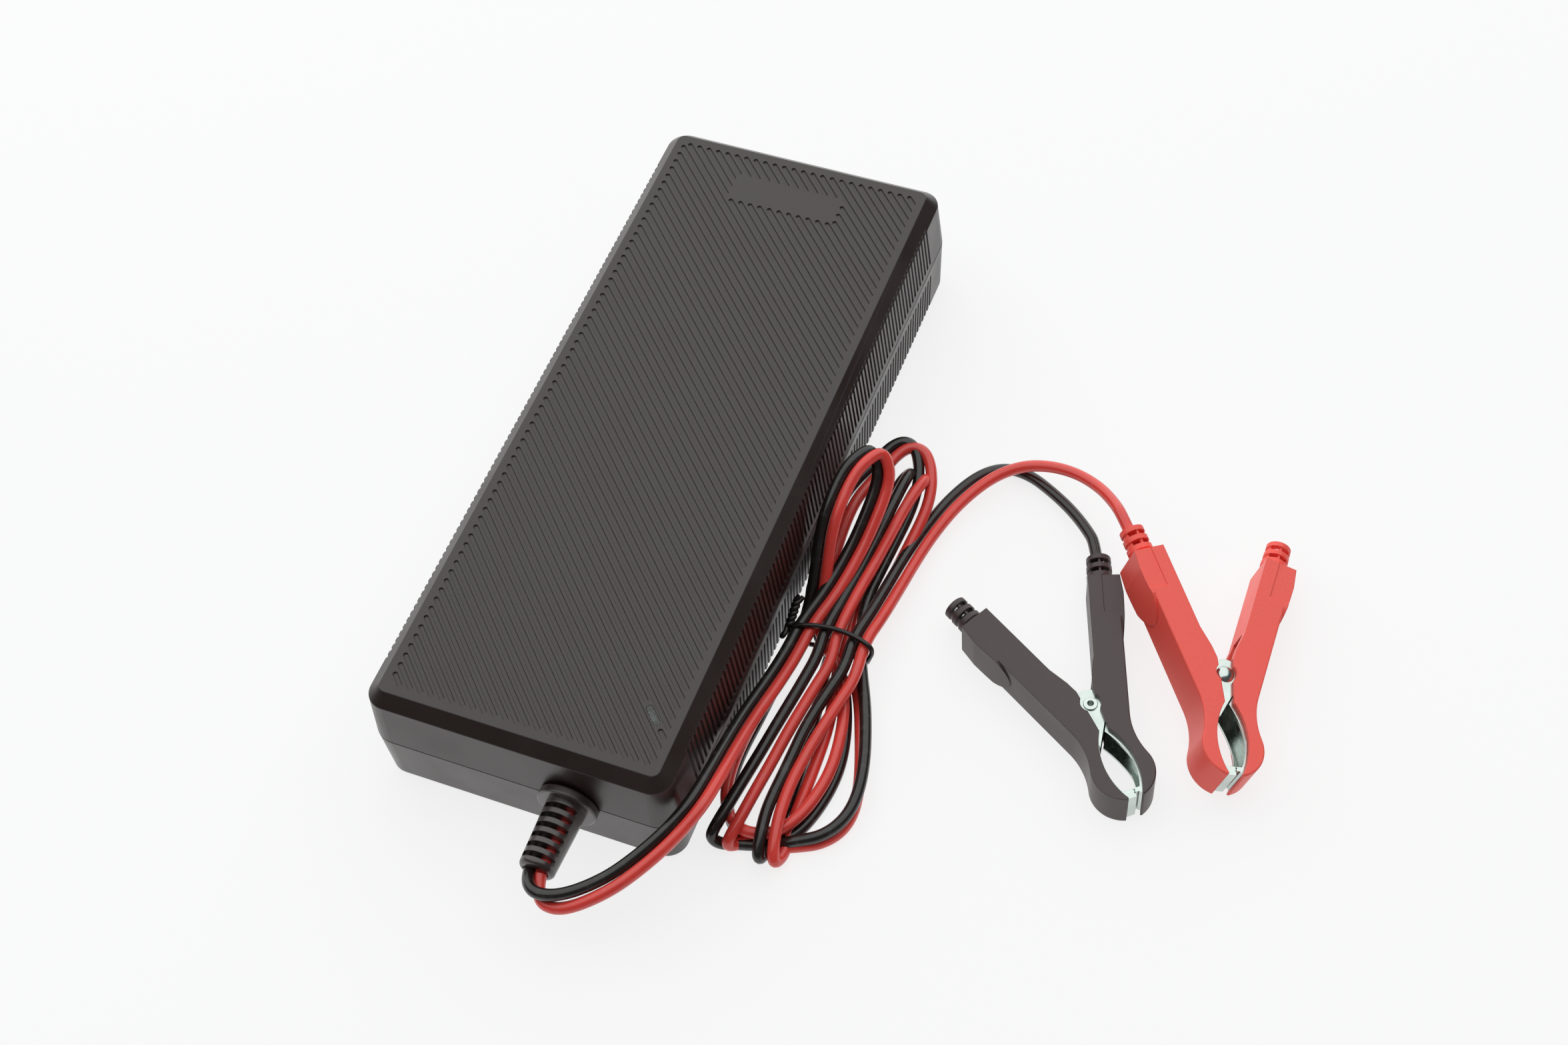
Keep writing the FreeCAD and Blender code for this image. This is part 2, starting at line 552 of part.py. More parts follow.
def rubber_feet():
    feet = [cylinder(f"foot_{number}", "foot_radius", "foot_height", (*spot, "0"))
            for number, spot in enumerate(FOOT_SPOTS, start=1)]
    node(group("foot_set", feet), "rubber_feet")


def light_pipe():
    lens = lens_prism("lens_bar", "0", ROOF, "wall")
    flange_size = ("lens_length + lens_flange", "lens_width + 2 * lens_flange",
                   "lens_flange_height")
    flange = box("lens_flange", flange_size, ("0", "0", "0"), "xy")
    stem = box("lens_stem_bar", ("led_length", "lens_width", "lens_stem + 0.5"),
               ("0", "0", "-lens_stem"), "xy")
    carrier = fuse("lens_carrier", [flange, stem])
    carrier.Placement = FreeCAD.Placement(VECTOR(), FreeCAD.Rotation(UP, -45))
    place(carrier, lens_spot(f"{ROOF} - lens_flange_height"))
    node(fuse("light_pipe_solid", [lens, carrier]), "led_light_pipe")


def status_led():
    top = f"{ROOF} - lens_flange_height - lens_stem - led_gap"
    lamp = box("led_body", ("led_length", "led_width", "led_height"),
               ("0", "0", f"{top} - led_height"), "xy")
    legs = [box(f"led_leg_{side}", ("led_leg", "led_leg", f"{top} - led_height / 2 - ({BOARD_TOP})"),
                (f"{side} * led_leg_spread / 2", "0", BOARD_TOP), "xy") for side in (-1, 1)]
    for number, leg in enumerate(legs, start=1):
        leg.Label = f"led_leg_{number}"
    lamp_and_legs = fuse("led_solid", [lamp] + legs)
    lamp_and_legs.Placement = FreeCAD.Placement(VECTOR(), FreeCAD.Rotation(UP, -45))
    node(place(lamp_and_legs, lens_spot("0")), "status_led")


# ---------------------------------------------------------------- cord strain relief
def strain_relief():
    """A ribbed boot: disc flanges either side of the front wall, then rings with slots between."""
    root, tip = S.relief_root_radius, S.relief_tip_radius
    length, disc = S.relief_length, S.flange_width
    seat = S.wall + S.inner_flange_gap
    inner = seat + S.inner_flange_width
    profile = [(0, -inner), (S.inner_flange_radius, -inner), (S.inner_flange_radius, -seat),
               (S.neck_radius, -seat), (S.neck_radius, 0), (S.flange_radius, 0),
               (S.flange_radius, disc), (root, disc), (tip, length), (0, length)]
    points = [VECTOR(radius, -along, 0) for radius, along in profile]
    outline = Part.Face(Part.makePolygon(points + points[:1]))
    solid = outline.revolve(VECTOR(), VECTOR(0, 1, 0), 360)
    rims = [edge for edge in solid.Edges if edge.Closed and edge.BoundBox.YLength < 0.01
            and abs(edge.BoundBox.YMin + length) < 0.01]
    solid = solid.makeFillet(S.relief_tip_round, rims)
    disc_rims = [edge for edge in solid.Edges if edge.Closed and edge.BoundBox.YLength < 0.01
                 and abs(edge.BoundBox.XMax - S.flange_radius) < 0.01]
    solid = solid.makeFillet(S.flange_round, disc_rims)
    bore = stadium(4 * (S.wire_radius + S.bore_gap), 2 * (S.wire_radius + S.bore_gap),
                   length + inner + 2)
    bore.rotate(VECTOR(), VECTOR(1, 0, 0), 90)
    bore.translate(VECTOR(0, inner + 1, 0))
    tools = [bore]
    for ring in range(int(S.relief_rings)):
        along = S.ring_first + ring * S.ring_pitch
        for up in (1, -1):
            depth = root
            slot = Part.makeBox(2 * S.slot_half_width, S.ring_slot, depth)
            low = S.slot_depth_from if up > 0 else -S.slot_depth_from - depth
            slot.translate(VECTOR(-S.slot_half_width, -along - S.ring_slot, low))
            tools.append(slot)
    solid = solid.cut(Part.makeCompound(tools))
    spot = VECTOR(S.relief_x, -S.case_length / 2, S.parting_height)
    node(shaped("relief_solid", solid, FreeCAD.Placement(spot, FreeCAD.Rotation())),
         "cord_strain_relief")


# ---------------------------------------------------------------- mains side
def mains_inlet():
    rear = "case_length / 2 - inlet_recess"
    shell = inlet_box("inlet_shell", "0", f"{rear} - inlet_depth", "inlet_depth")
    stop = inlet_box("inlet_stop", "inlet_flange",
                     "case_length / 2 - wall - inlet_flange_gap - inlet_flange_width",
                     "inlet_flange_width")
    solid = fuse("inlet_block", [shell, stop])
    socket = box("inlet_socket", ("socket_width", "socket_depth + 1", "socket_height"),
                 ("0", f"{rear} - socket_depth", "inlet_z"), "xz")
    ways = [box(f"pin_way_{number}", ("pin_width", "inlet_depth", "pin_height"),
                (x, f"{rear} - inlet_depth - 1", z), "xz")
            for number, (x, z) in enumerate(PIN_SPOTS, start=1)]
    node(cut("inlet_solid", solid, group("inlet_cuts", [socket] + ways)), "mains_inlet")


PIN_SPOTS = (("-pin_pitch / 2", "inlet_z"), ("pin_pitch / 2", "inlet_z"),
             ("0", "inlet_z + earth_rise"))


def inlet_pins():
    """Line, neutral and earth blades, with their solder tails behind the inlet."""
    rear = "case_length / 2 - inlet_recess"
    length = "inlet_depth - socket_depth + pin_length + pin_tail"
    pins = [box(f"pin_{number}", ("pin_width", length, "pin_height"),
                (x, f"{rear} - inlet_depth - pin_tail", z), "xz")
            for number, (x, z) in enumerate(PIN_SPOTS, start=1)]
    node(group("pin_set", pins), "inlet_pins")


def circuit_board():
    board = box("board_plate", (BOARD_WIDTH, BOARD_LENGTH, "board_height"),
                ("0", "0", BOARD_UNDER), "xy")
    holes = [cylinder(f"board_hole_{number}", "board_screw_radius + screw_gap",
                      "board_height + 2", (*spot, f"{BOARD_UNDER} - 1"))
             for number, spot in enumerate(POST_SPOTS, start=1)]
    node(cut("board_solid", board, group("board_holes", holes)), "circuit_board")


def board_screws():
    screws = []
    for number, spot in enumerate(POST_SPOTS, start=1):
        head = cylinder(f"board_screw_head_{number}", "board_screw_head", "board_screw_cap",
                        (*spot, BOARD_TOP))
        shank = cylinder(f"board_screw_shank_{number}", "board_screw_radius",
                         "board_screw_length", (*spot, f"{BOARD_TOP} - board_screw_length"))
        slot = cross_slot(f"board_screw_slot_{number}", "board_screw_head", spot,
                          f"{BOARD_TOP} + board_screw_cap / 2", "board_screw_cap")
        screws.append(cut(f"board_screw_{number}", fuse(f"board_screw_form_{number}",
                                                        [head, shank]), slot))
    node(group("board_screw_set", screws), "board_screws")


def insulation_sheet():
    size = (f"{BOARD_WIDTH} - 2 * sheet_margin_side", f"{BOARD_LENGTH} - 2 * sheet_margin_end",
            "sheet_height")
    node(box("insulation", size, ("0", "0", FLOOR_TOP), "xy"), "insulation_sheet")


def mains_fuse():
    """A glass fuse across the case, in two clips on the board."""
    height = f"{BOARD_TOP} + fuse_lift"
    glass = cylinder("fuse_glass", "fuse_radius - fuse_step", "fuse_length",
                     ("fuse_x - fuse_length / 2", FUSE_Y, height), "x")
    caps = [cylinder(f"fuse_cap_{number}", "fuse_radius", "fuse_cap", (x, FUSE_Y, height), "x")
            for number, x in enumerate(("fuse_x - fuse_length / 2",
                                        "fuse_x + fuse_length / 2 - fuse_cap"), start=1)]
    node(fuse("fuse_solid", [glass] + caps), "mains_fuse")
    clips = []
    for number, side in enumerate((-1, 1), start=1):
        middle = f"fuse_x + {side} * (fuse_length - fuse_cap) / 2"
        cradle = box(f"fuse_cradle_{number}", ("fuse_cap - 1", "2 * fuse_radius + 2 * fuse_clip",
                                               "fuse_lift + fuse_clip"),
                     (middle, FUSE_Y, BOARD_TOP), "xy")
        seat = cylinder(f"fuse_seat_{number}", "fuse_radius", "fuse_cap + 2",
                        (f"{middle} - fuse_cap / 2 - 1", FUSE_Y, height), "x")
        mouth = box(f"fuse_mouth_{number}", ("fuse_cap + 2", "2 * fuse_radius - fuse_clip",
                                             "fuse_lift"), (middle, FUSE_Y, height), "xy")
        clips.append(cut(f"fuse_clip_{number}", cradle,
                         fuse(f"fuse_clip_cut_{number}", [seat, mouth])))
    node(group("fuse_clip_pair", clips), "fuse_clips")


def filter_capacitor():
    case = box("filter_case", ("filter_length", "filter_width", "filter_height"),
               ("filter_x", FILTER_Y, f"{BOARD_TOP} + filter_stand"), "xy")
    legs = [box(f"filter_leg_{number}", ("lead_leg", "lead_leg", "filter_stand"),
                (f"filter_x + {side} * (filter_length / 2 - filter_leg_inset)", FILTER_Y,
                 BOARD_TOP), "xy") for number, side in enumerate((-1, 1), start=1)]
    node(fuse("filter_solid", [case] + legs), "mains_filter_capacitor")


def choke():
    """A ring core lying over the board, with two copper coils that close round it."""
    core = ring_of("choke_ring", "choke_radius", "choke_bore", "choke_height",
                   ("choke_x", CHOKE_Y, f"{BOARD_TOP} + choke_lift"))
    node(core, "choke_core")
    spot = ("choke_x", CHOKE_Y, f"{BOARD_TOP} + choke_lift - choke_coil")
    outer = ring_of("choke_coil_ring", "choke_radius + choke_coil", "choke_bore - choke_coil",
                    "choke_height + 2 * choke_coil", spot)
    inner = ring_of("choke_coil_room", "choke_radius", "choke_bore", "choke_height",
                    ("choke_x", CHOKE_Y, f"{BOARD_TOP} + choke_lift"))
    sleeve = cut("choke_sleeve", outer, inner)
    gap = box("choke_gap", ("choke_gap_width", "4 * choke_radius", "4 * choke_height"),
              ("choke_x", CHOKE_Y, BOARD_TOP), "xyz")
    legs = [cylinder(f"choke_leg_{number}", "lead_leg", "choke_lift",
                     (f"choke_x + {sx} * (choke_radius - choke_coil)",
                      f"{CHOKE_Y} + {sy} * choke_gap_width / 2", BOARD_TOP))
            for number, (sx, sy) in enumerate(((-1, -1), (-1, 1), (1, -1), (1, 1)), start=1)]
    coils = fuse("choke_coils_and_legs", [cut("choke_coils", sleeve, gap)] + legs)
    node(coils, "choke_winding")


def ring_of(name, radius, bore, height, at):
    return cut(name, cylinder(f"{name}_disc", radius, height, at),
               cylinder(f"{name}_bore", bore, height, at))


def flat_package(name, width, depth, height, stand, x, y, legs, pitch, along="x"):
    """A plastic power part standing on its legs, its face along X or Y."""
    turned = along == "y"
    size = (depth, width, height) if turned else (width, depth, height)
    case = box(f"{name}_case", size, (x, y, f"{BOARD_TOP} + {stand}"), "xy")
    pieces = [case]
    for number in range(legs):
        shift = f"({number - (legs - 1) / 2}) * {pitch}"
        spot = (x, f"{y} + {shift}") if turned else (f"{x} + {shift}", y)
        pieces.append(box(f"{name}_leg_{number + 1}", ("lead_leg", "lead_leg", f"{stand} + 0.5"),
                          (*spot, BOARD_TOP), "xy"))
    return fuse(f"{name}_solid", pieces)


def bridge():
    node(flat_package("bridge", "bridge_width", "bridge_depth", "bridge_height", "bridge_lift",
                      "bridge_x", BRIDGE_Y, 4, "bridge_leg_pitch"), "bridge_rectifier")


def bulk_capacitor():
    """The large capacitor lies along the board."""
    can = cylinder("bulk_can", "bulk_radius", "bulk_length",
                   ("bulk_x", f"{BULK_Y} - bulk_length / 2", f"{BOARD_TOP} + bulk_radius"), "y")
    legs = [box(f"bulk_leg_{number}", ("lead_leg", "bulk_leg_length + 0.5", "lead_leg"),
                (f"bulk_x + {side} * bulk_leg_pitch / 2", f"{BULK_Y} + bulk_length / 2 - 0.5",
                 f"{BOARD_TOP} + bulk_radius"), "xz") for number, side in ((1, -1), (2, 1))]
    feet = [box(f"bulk_foot_{number}", ("lead_leg", "lead_leg", "bulk_radius + lead_leg / 2"),
                (f"bulk_x + {side} * bulk_leg_pitch / 2",
                 f"{BULK_Y} + bulk_length / 2 + bulk_leg_length - lead_leg", BOARD_TOP), "x")
            for number, side in ((1, -1), (2, 1))]
    node(fuse("bulk_solid", [can] + legs + feet), "bulk_capacitor")


def heat_sink(name, label, y):
    """An aluminium plate along the board, with upright fins on its outer face."""
    plate = box(f"{name}_plate", ("sink_width", "sink_length", "sink_height"),
                ("sink_x", y, BOARD_TOP), "xy")
    fins = [box(f"{name}_fin_{number + 1}", ("fin_depth", "fin_width", "sink_height"),
                ("sink_x + sink_width / 2",
                 f"{y} + ({number - (int(S.sink_count) - 1) / 2}) * fin_pitch", BOARD_TOP), "y")
            for number in range(int(S.sink_count))]
    node(fuse(f"{name}_solid", [plate] + fins), label)


def power_part(name, label, y):
    """A power transistor or rectifier flat against its heat sink's inner face."""
    x = "sink_x - (sink_width + switch_depth) / 2"
    solid = flat_package(name, "switch_width", "switch_depth", "switch_height", "bridge_lift",
                         x, y, 3, "switch_leg_pitch", "y")
    node(solid, label)


# ---------------------------------------------------------------- transformer and output
def transformer():
    """An E core pair round a bobbin that stands on the board; the winding fills the bobbin."""
    spot = ("transformer_x", "transformer_y")
    base = f"{BOARD_TOP} + bobbin_flange"
    block = box("core_block", ("core_width", "core_depth", "core_height"), (*spot, base), "xy")
    window = "core_width / 2 - 1.5 * core_leg"
    tall = "core_height - 2 * core_yoke"
    windows = [box(f"core_window_{number}", (window, "core_depth + 2", tall),
                   (f"transformer_x + {side} * (core_leg / 2 + ({window}) / 2)", "transformer_y",
                    f"{base} + core_yoke"), "xy") for number, side in ((1, -1), (2, 1))]
    node(cut("core_solid", block, group("core_windows", windows)), "transformer_core")
    low = f"{base} + core_yoke + winding_gap"
    height = f"{tall} - 2 * winding_gap"
    wide = f"core_leg + 2 * ({window} - winding_gap)"
    deep = f"core_depth + 2 * ({window} - winding_gap)"
    tube_size = ("core_leg + 2 * (bobbin_wall + winding_gap)",
                 "core_depth + 2 * (bobbin_wall + winding_gap)", height)
    room_size = ("core_leg + 2 * winding_gap", "core_depth + 2 * winding_gap", f"{height} + 2")
    spool = box("bobbin_tube", tube_size, (*spot, low), "xy")
    plates = [box(f"bobbin_plate_{number}", (wide, deep, "bobbin_flange"), (*spot, z), "xy")
              for number, z in ((1, low), (2, f"{low} + {height} - bobbin_flange"))]
    bobbin = cut("bobbin_form", fuse("bobbin_block", [spool] + plates),
                 box("bobbin_room", room_size, (*spot, f"{low} - 1"), "xy"))
    pins = [box(f"bobbin_rail_{number}", (wide, "bobbin_rail", f"{low} - ({BOARD_TOP}) + 0.5"),
                ("transformer_x", f"transformer_y + {side} * (core_depth / 2 + winding_gap + "
                 "bobbin_rail / 2)", BOARD_TOP), "xy") for number, side in ((1, -1), (2, 1))]
    node(fuse("bobbin_solid", [bobbin] + pins), "transformer_bobbin")
    coil = box("coil_block", (f"{wide} - 2 * winding_gap", f"{deep} - 2 * winding_gap",
                              f"{height} - 2 * bobbin_flange"),
               (*spot, f"{low} + bobbin_flange"), "xy")
    hole = box("coil_room", (*tube_size[:2], height), (*spot, low), "xy")
    node(cut("coil_solid", coil, hole), "transformer_winding")


def output_capacitors():
    cans = [cylinder(f"output_can_{number + 1}", "capacitor_radius", "capacitor_height",
                     (f"capacitor_x + {number} * capacitor_pitch", "capacitor_y", BOARD_TOP))
            for number in range(int(S.capacitor_count))]
    node(group("output_can_set", cans), "output_capacitors")


# ---------------------------------------------------------------- clips
# A clip's own frame: the rivet stands on the origin, the jaws point along X, and the two arms
# are mirror images in the plane Y = 0. Sleeves fill the height from 0 to clip_height.
FAR = 6.0


def handle_point(along, across):
    """A point of the handle on the +Y side, along it from the rivet and across it."""
    turn = math.radians(S.handle_angle)
    return VECTOR(-along * math.cos(turn) + across * math.sin(turn),
                  along * math.sin(turn) + across * math.cos(turn), 0)


def line(first, last):
    return Part.LineSegment(first, last).toShape()


def arc(first, middle, last):
    return Part.Arc(first, middle, last).toShape()


def outer_edges(inset, reach):
    """The outer side of an arm, from the handle's tail to the jaw's tip."""
    across = S.handle_inner + S.handle_width - inset
    tail = handle_point(reach, across)
    shoulder = handle_point(-S.jaw_shoulder, across)
    waist = VECTOR(S.waist_x, S.jaw_waist - inset, 0)
    neck = VECTOR(S.neck_x, S.jaw_neck - inset, 0)
    belly = VECTOR(S.belly_x - inset / 2, S.jaw_belly - inset, 0)
    tip = VECTOR(S.jaw_length - inset, S.tip_outer, 0)
    return tail, tip, [line(tail, shoulder), arc(shoulder, waist, neck), arc(neck, belly, tip)]


def arm_plan(inset, spread, reach):
    """Plan of an arm. Inset draws its outer side in; spread carries its inner side past Y = 0."""
    tail, tip, edges = outer_edges(inset, reach)
    nose = VECTOR(S.jaw_length - S.tip_slope - inset, S.tip_inner - spread, 0)
    hollow = VECTOR(S.hollow_x, S.jaw_hollow - spread, 0)
    throat = VECTOR(S.throat_x, S.jaw_throat - spread, 0)
    cheek = VECTOR(S.cheek_x, S.jaw_cheek - spread, 0)
    inner = S.handle_inner - spread
    corner = handle_point(S.crotch_corner, inner - S.handle_inner / 2)
    spots = [throat, cheek, corner, handle_point(S.crotch, inner), handle_point(reach, inner), tail]
    edges += [line(tip, nose), arc(nose, hollow, throat)]
    edges += [line(first, last) for first, last in zip(spots, spots[1:])]
    return Part.Face(Part.Wire(edges))


def slab(face, low, high):
    solid = face.extrude(VECTOR(0, 0, high - low))
    solid.translate(VECTOR(0, 0, low))
    return solid


def column(radius, low, high, at=VECTOR()):
    return Part.makeCylinder(radius, high - low, VECTOR(at.x, at.y, low))


def along_handle(shape, along, across, height):
    """Carries a shape from the origin to a handle, its X pointing out along it."""
    shape = shape.copy()
    shape.rotate(VECTOR(), UP, 180 - S.handle_angle)
    spot = handle_point(along, across)
    shape.translate(VECTOR(spot.x, spot.y, height))
    return shape


def boot():
    """The cable boot behind a handle: raised bands, with windows between them, and a bore."""
    radius = S.boot_root_radius
    points = [(-S.cover_wall / 2, 0), (-S.cover_wall / 2, radius)]
    for number in range(int(S.boot_bands)):
        start = S.boot_first + number * S.boot_pitch
        low = radius - S.boot_taper * (number + 1) / S.boot_bands
        high = low + S.boot_band
        step = S.boot_band / 2
        points += [(start - step, low), (start, high), (start + S.boot_band_width, high),
                   (start + S.boot_band_width + step, low)]
    end = S.boot_length
    points[-1] = (end, high - S.boot_band / 2)
    points += [(end, 0)]
    corners_of = [VECTOR(along, out, 0) for along, out in points]
    solid = Part.Face(Part.makePolygon(corners_of + corners_of[:1]))
    solid = solid.revolve(VECTOR(), VECTOR(1, 0, 0), 360)
    windows = []
    for number in range(int(S.boot_bands) - 1):
        middle = S.boot_first + number * S.boot_pitch + (S.boot_pitch + S.boot_band_width) / 2
        for side in (-1, 1):
            start = middle - S.window_length / 2
            edge = side * S.window_spread - S.window_width / 2
            windows.append(Part.makeBox(S.window_length, S.window_width, S.clip_height / 2,
                                        VECTOR(start, edge, 0)))
            windows.append(Part.makeBox(S.window_length + S.window_run, S.window_width,
                                        S.clip_height / 2,
                                        VECTOR(start, edge, -S.clip_height / 2)))
    return solid.cut(Part.makeCompound(windows))


def thumb_pad(outer):
    """An oval land on the handle's outer side, highest towards the tail and cut off at it."""
    middle = S.pad_start + S.pad_length / 2
    root = outer - S.cover_wall / 2
    oval = Part.Ellipse(VECTOR(), S.pad_length / 2, S.pad_height / 2).toShape()
    land = Part.Face(Part.Wire(oval)).extrude(VECTOR(0, 0, 2 * S.pad_proud + S.cover_wall))
    land.rotate(VECTOR(), VECTOR(1, 0, 0), 90)
    land = along_handle(land, middle, root, S.clip_height / 2)
    foot, toe = handle_point(S.pad_start, root), handle_point(S.pad_start, outer + S.pad_toe)
    rise = handle_point((S.pad_start + S.pad_peak) / 2, outer + S.pad_proud * 0.8)
    peak = handle_point(S.pad_peak, outer + S.pad_proud)
    tail = handle_point(S.handle_reach, outer + S.pad_tail)
    end = handle_point(S.handle_reach, root)
    crown = Part.Wire([arc(toe, rise, peak), line(peak, tail), line(tail, end), line(end, foot),
                       line(foot, toe)])
    return land.common(slab(Part.Face(crown), 0, S.clip_height))


def flank():
    """The wall that closes a handle's inner side, with the way in for the spring's leg."""
    inside = S.handle_inner + S.cover_wall
    wall = Part.makeBox(S.handle_reach - S.flank_start, FAR, S.clip_height)
    way = Part.makeBox(S.spring_way, FAR, S.spring_way_height)
    return along_handle(wall, S.flank_start, inside, 0).cut(
        along_handle(way, S.flank_start, inside, (S.clip_height - S.spring_way_height) / 2))


def crease():
    """What slopes a sleeve's top down outwards, from a line between its tail and its jaw."""
    last = VECTOR(S.waist_x, S.crease_end, 0)
    first = handle_point(S.handle_reach, S.boot_axis - S.boot_root_radius)
    forward = (last - first).normalize()
    outward = VECTOR(-forward.y, forward.x, 0) * S.clip_height
    start = first - forward * FAR + UP * S.clip_height
    spots = [start, start + outward - UP * S.crease_drop, start + outward + UP, start + UP]
    return Part.Face(Part.makePolygon(spots + spots[:1])).extrude(forward * 2 * S.handle_reach)


def sleeve(creased):
    """The moulded sleeve of the arm on the +Y side, with its boot: a channel open at the jaw."""
    tall = S.clip_height
    outer = S.handle_inner + S.handle_width
    block = slab(arm_plan(0, 0, S.handle_reach), 0, tall)
    rims = [edge for edge in block.Edges if edge.BoundBox.ZLength < 0.01
            and on_outer_side(edge)]
    block = block.makeFillet(S.cover_fillet, rims)
    hollow = slab(arm_plan(S.cover_wall, FAR, S.handle_reach - S.cover_wall), S.cover_wall,
                  tall - S.cover_wall)
    block = block.cut(hollow.cut(flank()))
    cable_boot = along_handle(boot(), S.handle_reach, S.boot_axis, tall / 2)
    block = block.fuse(cable_boot).removeSplitter().fuse(thumb_pad(outer))
    bore = Part.makeCylinder(S.wire_radius + S.bore_gap, S.boot_length + 2 * S.cover_wall,
                             VECTOR(), VECTOR(1, 0, 0))
    bore = along_handle(bore, S.handle_reach - 1.5 * S.cover_wall, S.boot_axis, tall / 2)
    panel = Part.makeBox(S.panel_length + 1, S.panel_width + 1, 1)
    panel = along_handle(panel, S.handle_reach - S.panel_length, outer + 1,
                         tall - S.panel_depth)
    eye = column(S.dome_radius + S.head_room, -1, tall + 1)
    block = block.cut(Part.makeCompound([bore, eye]))
    return block.cut(crease() if creased else panel)


def on_outer_side(edge):
    """Whether an edge of an arm's block lies on its outer side."""
    tail, tip, edges = outer_edges(0, S.handle_reach)
    middle = edge.valueAt((edge.FirstParameter + edge.LastParameter) / 2)
    flat = Part.Vertex(middle.x, middle.y, 0)
    return min(side.distToShape(flat)[0] for side in edges) < 0.01


def ear_web(grow):
    """Plan of the steel that runs forward from an ear to its own jaw, across the middle."""
    spots = [VECTOR(0, -S.ear_radius - grow, 0),
             VECTOR(S.ear_radius * 0.72 + grow, -S.ear_radius * 0.72 - grow / 2, 0),
             VECTOR(S.ear_taper + 2 * grow, S.jaw_throat + S.ear_lap, 0),
             VECTOR(0, S.jaw_throat + S.ear_lap, 0)]
    return Part.Face(Part.makePolygon(spots + spots[:1]))


def steel_arm(nested):
    """The stamped arm on the +Y side: a channel with two ears and a toothed bite.

    The ears of one arm lie between the ears of the other, so a nested arm's are set inwards."""
    low = S.cover_wall + S.plate_gap
    top = S.clip_height - low
    inset = S.cover_wall
    block = slab(arm_plan(inset, S.steel_proud, S.steel_reach), low, top)
    trim = slab(handle_trim(), low, top)
    room = slab(arm_plan(inset + S.plate, FAR, S.steel_reach + 1), low + S.plate, top - S.plate)
    heel = S.jaw_length - S.bite_length - S.nose_overhang
    room = room.cut(Part.makeBox(FAR, 4 * FAR, S.clip_height, VECTOR(heel, -2 * FAR, 0)))
    room = room.cut(beads(inset + S.plate, heel))
    length = S.bite_length - (S.nose_recess if nested else 0)
    face = (S.bite_shift if nested else -S.bite_shift) + S.bite_gap / 2
    nose = Part.makeBox(length, S.tip_inner - S.plate_gap - face, top - low,
                        VECTOR(heel, face, low))
    root = Part.makeBox(S.bite_length / 2, S.tip_outer - face, top - low,
                        VECTOR(heel, face, low))
    root = root.common(slab(arm_plan(inset, FAR, S.steel_reach), low, top))
    block = block.cut(trim).fuse([nose, root])
    levels = ((low, low + S.plate), (top - S.plate, top))
    ears = []
    if nested:
        clear = S.ear_radius + S.ear_room
        rooms = [column(clear, low - 1, low + S.plate + S.plate_gap / 2),
                 column(clear, top - S.plate - S.plate_gap / 2, top + 1)]
        mirror_web = ear_web(S.ear_room).mirror(VECTOR(), VECTOR(0, 1, 0))
        rooms += [slab(mirror_web, low - 1, low + S.plate + S.plate_gap / 2),
                  slab(mirror_web, top - S.plate - S.plate_gap / 2, top + 1)]
        shift = S.plate + S.plate_gap
        block = block.fuse([slab(throat_flange(), bottom, above) for bottom, above in levels])
        for bottom, inside in ((low, low + shift), (top - 2 * S.plate - S.plate_gap,
                                                    top - shift - S.plate)):
            step = Part.makeBox(2 * S.ear_radius - 1, 1.2, shift + S.plate,
                                VECTOR(0.5 - S.ear_radius, clear + 0.05, bottom))
            neck = Part.makeBox(2 * S.ear_radius - 1, clear + 0.5, S.plate,
                                VECTOR(0.5 - S.ear_radius, 0, inside))
            ears += [step, neck, column(S.ear_radius, inside, inside + S.plate)]
        block = block.cut(Part.makeCompound(rooms))
    else:
        for bottom, above in levels:
            ears += [column(S.ear_radius, bottom, above), slab(ear_web(0), bottom, above)]
    block = block.cut(room.cut(nose).cut(root)).fuse(ears)
    tools = [column(S.rivet_radius + S.rivet_gap, 0, S.clip_height)]
    tools += teeth(heel, length, face)
    return block.cut(Part.makeCompound(tools)).removeSplitter()


def handle_trim():
    """What is cut off a steel arm's inner side along the handle."""
    inner = S.handle_inner
    spots = [handle_point(S.trim_start, inner + S.steel_inset), handle_point(S.trim_start, -FAR),
             handle_point(S.steel_reach + 1, -FAR),
             handle_point(S.steel_reach + 1, inner + S.steel_inset)]
    return Part.Face(Part.makePolygon(spots + spots[:1]))


def throat_flange():
    """Plan of the corner by which a nested arm's flange runs on under the other's ear."""
    start = VECTOR(S.flange_start, 0, 0)
    bow = VECTOR(S.flange_middle, S.flange_bow, 0)
    end = VECTOR(S.flange_end, S.flange_rise, 0)
    corner = VECTOR(S.ear_radius, S.jaw_throat + S.ear_lap, 0)
    foot = VECTOR(S.ear_radius, 0, 0)
    behind = VECTOR(S.flange_end, S.flange_rise + S.plate, 0)
    return Part.Face(Part.Wire([arc(start, bow, end), line(end, behind), line(behind, corner),
                                line(corner, foot), line(foot, start)]))


def beads(depth, heel):
    """Two stiffening beads along the inside of a jaw's web."""
    strips = []
    for side in (-1, 1):
        middle = S.clip_height / 2 + side * S.bead_pitch / 2
        low, high = middle - S.bead_width / 2, middle + S.bead_width / 2
        raised = slab(arm_plan(depth, FAR, S.steel_reach), low, high)
        strips.append(raised.cut(slab(arm_plan(depth + S.bead_rise, FAR, S.steel_reach), low,
                                      high)))
    reach = Part.makeBox(heel - S.bead_start, 2 * FAR, S.clip_height,
                         VECTOR(S.bead_start, 0, 0))
    return Part.makeCompound(strips).common(reach)


